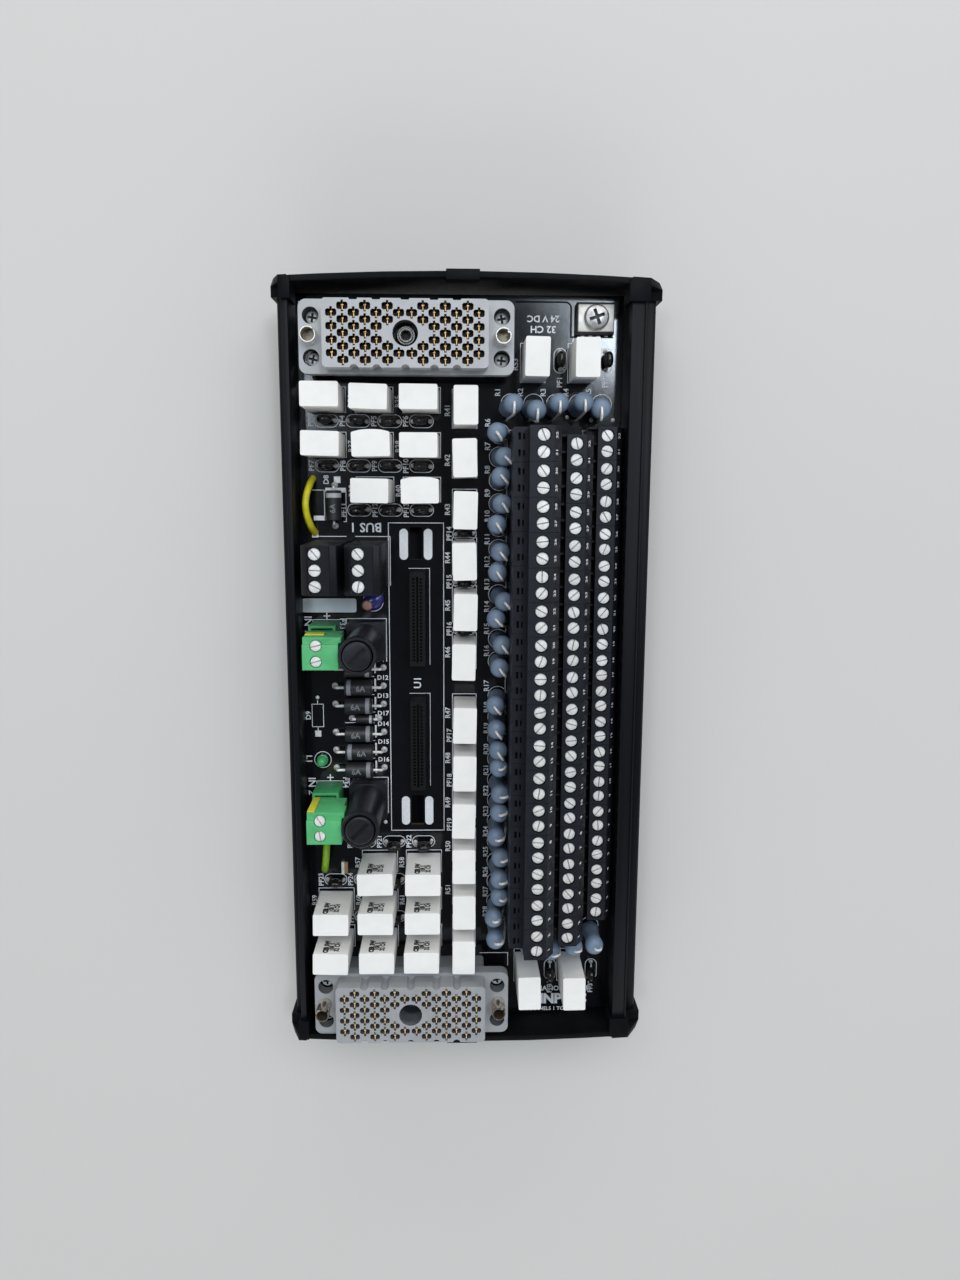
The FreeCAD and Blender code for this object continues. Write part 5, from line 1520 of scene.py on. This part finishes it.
def module_marks(marks, words):
    """Outline of the plug-in module, its catches and its sockets."""
    add_ribbon(marks, rectangle(*MODULE), 0.26, closed=True)
    for x, y in OPENINGS:
        for side in SIDES:
            add_patch(marks, oval(CATCH_MARK, (x + side * CATCH_MARK_OFFSET, y)))
    for end in ENDS:
        low, high, _ = box_mm(f"{end}_module_socket")
        right, top = high.x + 1.4, high.y + 1.0
        add_ribbon(marks, [(low.x - 0.7, top), (right, top), (right, low.y - 1.0)], 0.18)
    words.append(word("U1", -17.2, -3.4, UP, BIG_WORD))


def terminal_marks(marks, words):
    """Outlines of the terminal row, with its step at the top, and of the bus terminals."""
    low, high, _ = box_mm("terminal_blocks")
    step_in, step_out, step_up = 31.5, 39.4, 2.7
    left, right, edge = low.x - 0.5, high.x + 0.3, high.y - 0.4
    add_ribbon(marks, [(left, low.y), (left, edge), (step_in, edge), (step_in, edge - step_up),
                       (step_out, edge - step_up), (step_out, edge), (right, edge), (right, low.y)])
    low, high, _ = box_mm("left_bus_terminal")
    add_ribbon(marks, [(low.x, high.y + 1.2), (high.x - 1, high.y + 1.2)])
    low, high, _ = box_mm("right_bus_terminal")
    right, top = high.x + 0.6, high.y + 1.2
    add_ribbon(marks, [(low.x, top), (right, top), (right, low.y)])
    words.append(word("BUS 1", -34.8, 51.2, INVERTED, 4.4))


def spare_marks(marks, words):
    """Outline of a spare diode place, with its leads."""
    left, foot, right, top = SPARE_MARK
    middle = (left + right) / 2
    add_ribbon(marks, rectangle(*SPARE_MARK), closed=True)
    for inner, outer in ((top, top + SPARE_LEAD), (foot, foot - SPARE_LEAD)):
        add_ribbon(marks, [(middle, inner), (middle, outer)])
    words.append(word("D9", middle - 3.3, -15.3))


def other_marks(marks, words):
    """Lamp, connector, capacitor and earth clamp marks, and the board's titles."""
    centre = box_mm("status_lamp")[2]
    add_ribbon(marks, circle(LAMP_MARK, 32, centre), closed=True)
    add_ribbon(marks, CONNECTOR_MARK)
    words.extend([
        word("L1", centre.x - 5.0, centre.y + 0.2, DOWN, 3.0),
        word("X1", -55.0, 123.4, DOWN, BIG_WORD),
        word("32 CH", 25.4, 117.2, INVERTED, 3.2),
        word("24 V DC", 25.4, 120.6, INVERTED, 3.0),
        word("TERMINATION BOARD", 33.0, -120.3, 0, 2.7),
        word("32 INPUTS", 33.0, -124.5, 0, 5.3, TITLE_WEIGHT),
        word("CHANNELS 1 TO 32, 24 V", 33.0, -128.4, 0, 2.0)])
    centre = box_mm("dipped_capacitor")[2] + CAPACITOR_SHIFT
    add_ribbon(marks, circle(CAPACITOR_MARK, 28, centre), closed=True)
    low, high, _ = box_mm("earth_clamp")
    left, foot = low.x - 0.7, low.y - 2.0
    add_ribbon(marks, [(left, high.y), (left, foot), (low.x + 4.5, foot)], 0.35)


def bare_pads(board):
    """Free tinned pads, and pads that show beside their part."""
    drop = [(0.7, BOARD_TOP), (0.6, BOARD_TOP + PAD_RISE), (0.3, BOARD_TOP + 0.3), (0, BOARD_TOP + 0.35)]
    for x, y in ROUND_PADS:
        add_lathe(board, drop, 20, at(x, y), TIN)
    for x, y in SQUARE_PADS:
        outline = rectangle(x - PAD_HALF, y - PAD_HALF, x + PAD_HALF, y + PAD_HALF)
        add_prism(board, outline, BOARD_TOP, BOARD_TOP + PAD_RISE, index=TIN)


def earth_groove(board):
    """The gap in the copper that sets off the earth area."""
    left, right, top, low, end, turn = 16.0, 34.7, 125.9, 114.7, 49.0, 2.0
    corner = [(right - turn + turn * math.sin(a), top - turn + turn * math.cos(a))
              for a in (QUARTER * n / 5 for n in range(6))]
    add_ribbon(board, [(left, top)] + corner + [(right, low), (end, low)], 0.55, index=GAP)


def circuit_board():
    board = cad_copy("circuit_board")
    paint(board, EDGE, lambda _, normal: abs(normal.z) < UPRIGHT_RISE)
    marks = bmesh.new()
    words = []
    for maker in (case_marks, tablet_marks, load_marks, diode_marks, supply_marks, module_marks,
                  terminal_marks, spare_marks, other_marks):
        maker(marks, words)
    add_words(marks, words)
    shade(marks.faces, INK)
    earth_groove(board)
    bare_pads(board)
    add_patch(board, rounded_rectangle(*WRITING_STRIP, 0.8, 4, STRIP_PLACE), PAPER)
    piece("board_sheet", join(board, marks), "circuit_board", BOARD, LAMINATE, PRINT, SOLDER, TRACE, STRIP)


circuit_board()


# Stage, light and camera

FLOOR = surface("floor_pale", (0.66, 0.65, 0.63), (0.64, 0.63, 0.61), (0.8, 0.9), scale=3, bump=0)
FLOOR_HALF = 3.0
DARK_MIDDLE = (0.0, -0.19, 0.0)
DARK_REACH = (0.30, 0.46)
DARK_FADE = (0.85, 1.3)
OVERHEAD = 0.10
ROOM = 0.38
ROOM_TINT = (0.95, 0.97, 1.0, 1)
WHITE = (1.0, 1.0, 1.0)
COOL = (0.78, 0.89, 1.0)
# Name, place and size in metres, watts and colour.
LAMPS = (("ceiling", (0.1, 0.95, 1.4), (1.8, 0.5), 11.0, WHITE),
         ("far_wall", (0.0, 1.3, 0.45), (1.8, 0.5), 5.0, WHITE),
         ("table", (0.0, -1.2, 0.7), (1.6, 0.6), 4.6, WHITE),
         ("top_sheen", (0.33, 0.43, 1.5), (0.36, 0.20), 2.2, COOL),
         ("side_sheen", (0.325, 0.38, 1.5), (0.12, 0.20), 2.2, COOL),
         ("window", (-0.40, 0.23, 1.5), (0.22, 0.20), 2.2, COOL))
CAMERA_PLACE = (-3.140, 62.415, BOARD_TOP + 321.962)
CAMERA_PITCH = 0.15581
CAMERA_YAW = 0.02437
CAMERA_ROLL = -0.00424
FOCAL_PIXELS = 926.26
PHOTO_HEIGHT = 1280
SENSOR = 36.0


def stage():
    mesh = bpy.data.meshes.new("floor")
    corners = rectangle(-FLOOR_HALF, -FLOOR_HALF, FLOOR_HALF, FLOOR_HALF)
    mesh.from_pydata([(x, y, 0) for x, y in corners], [], [(0, 1, 2, 3)])
    mesh.materials.append(FLOOR)
    floor = add_object("floor", mesh)


def room():
    """An even pale room that is dark overhead, in the part that the flat board mirrors to the viewer."""
    world = bpy.data.worlds.new("studio")
    scene.world = world
    world.use_nodes = True
    tree = world.node_tree
    link = tree.links.new

    def vector_step(operation, source, value=(0, 0, 0)):
        step = tree.nodes.new("ShaderNodeVectorMath")
        step.operation = operation
        step.inputs[1].default_value = value
        link(source, step.inputs[0])
        return step.outputs

    direction = add_node(tree, "ShaderNodeTexCoord").outputs["Generated"]
    shifted = vector_step("SUBTRACT", direction, DARK_MIDDLE)["Vector"]
    scaled = vector_step("MULTIPLY", shifted, (1 / DARK_REACH[0], 1 / DARK_REACH[1], 0))["Vector"]
    reach = vector_step("LENGTH", scaled)["Value"]
    fade = add_node(tree, "ShaderNodeMapRange", From_Min=DARK_FADE[0], From_Max=DARK_FADE[1], To_Min=OVERHEAD,
                    To_Max=ROOM)
    fade.interpolation_type = "SMOOTHSTEP"
    link(reach, fade.inputs["Value"])
    back = tree.nodes["Background"]
    back.inputs["Color"].default_value = ROOM_TINT
    link(fade.outputs["Result"], back.inputs["Strength"])


def lamp(name, place, size, power, colour):
    """A soft rectangular lamp that faces the board."""
    data = bpy.data.lights.new(name, "AREA")
    data.shape = "RECTANGLE"
    data.size, data.size_y = size
    data.energy = power
    data.color = colour
    thing = add_object(name, data)
    thing.location = place
    thing.rotation_euler = (-Vector(place)).to_track_quat("-Z", "Y").to_euler()


def camera():
    """A camera at the photograph's place, with its field of view."""
    data = bpy.data.cameras.new("view")
    data.sensor_fit = "VERTICAL"
    data.sensor_height = SENSOR
    data.lens = SENSOR * FOCAL_PIXELS / PHOTO_HEIGHT
    data.clip_start = 0.01
    thing = add_object("view", data)
    turn = (Matrix.Rotation(CAMERA_ROLL, 4, "Z") @ Matrix.Rotation(CAMERA_PITCH, 4, "X")
            @ Matrix.Rotation(CAMERA_YAW, 4, "Y"))
    thing.matrix_world = Matrix.Translation(Vector(CAMERA_PLACE) * MM) @ turn.transposed()
    scene.camera = thing


stage()
room()
for entry in LAMPS:
    lamp(*entry)
camera()
scene.view_settings.view_transform = "Standard"
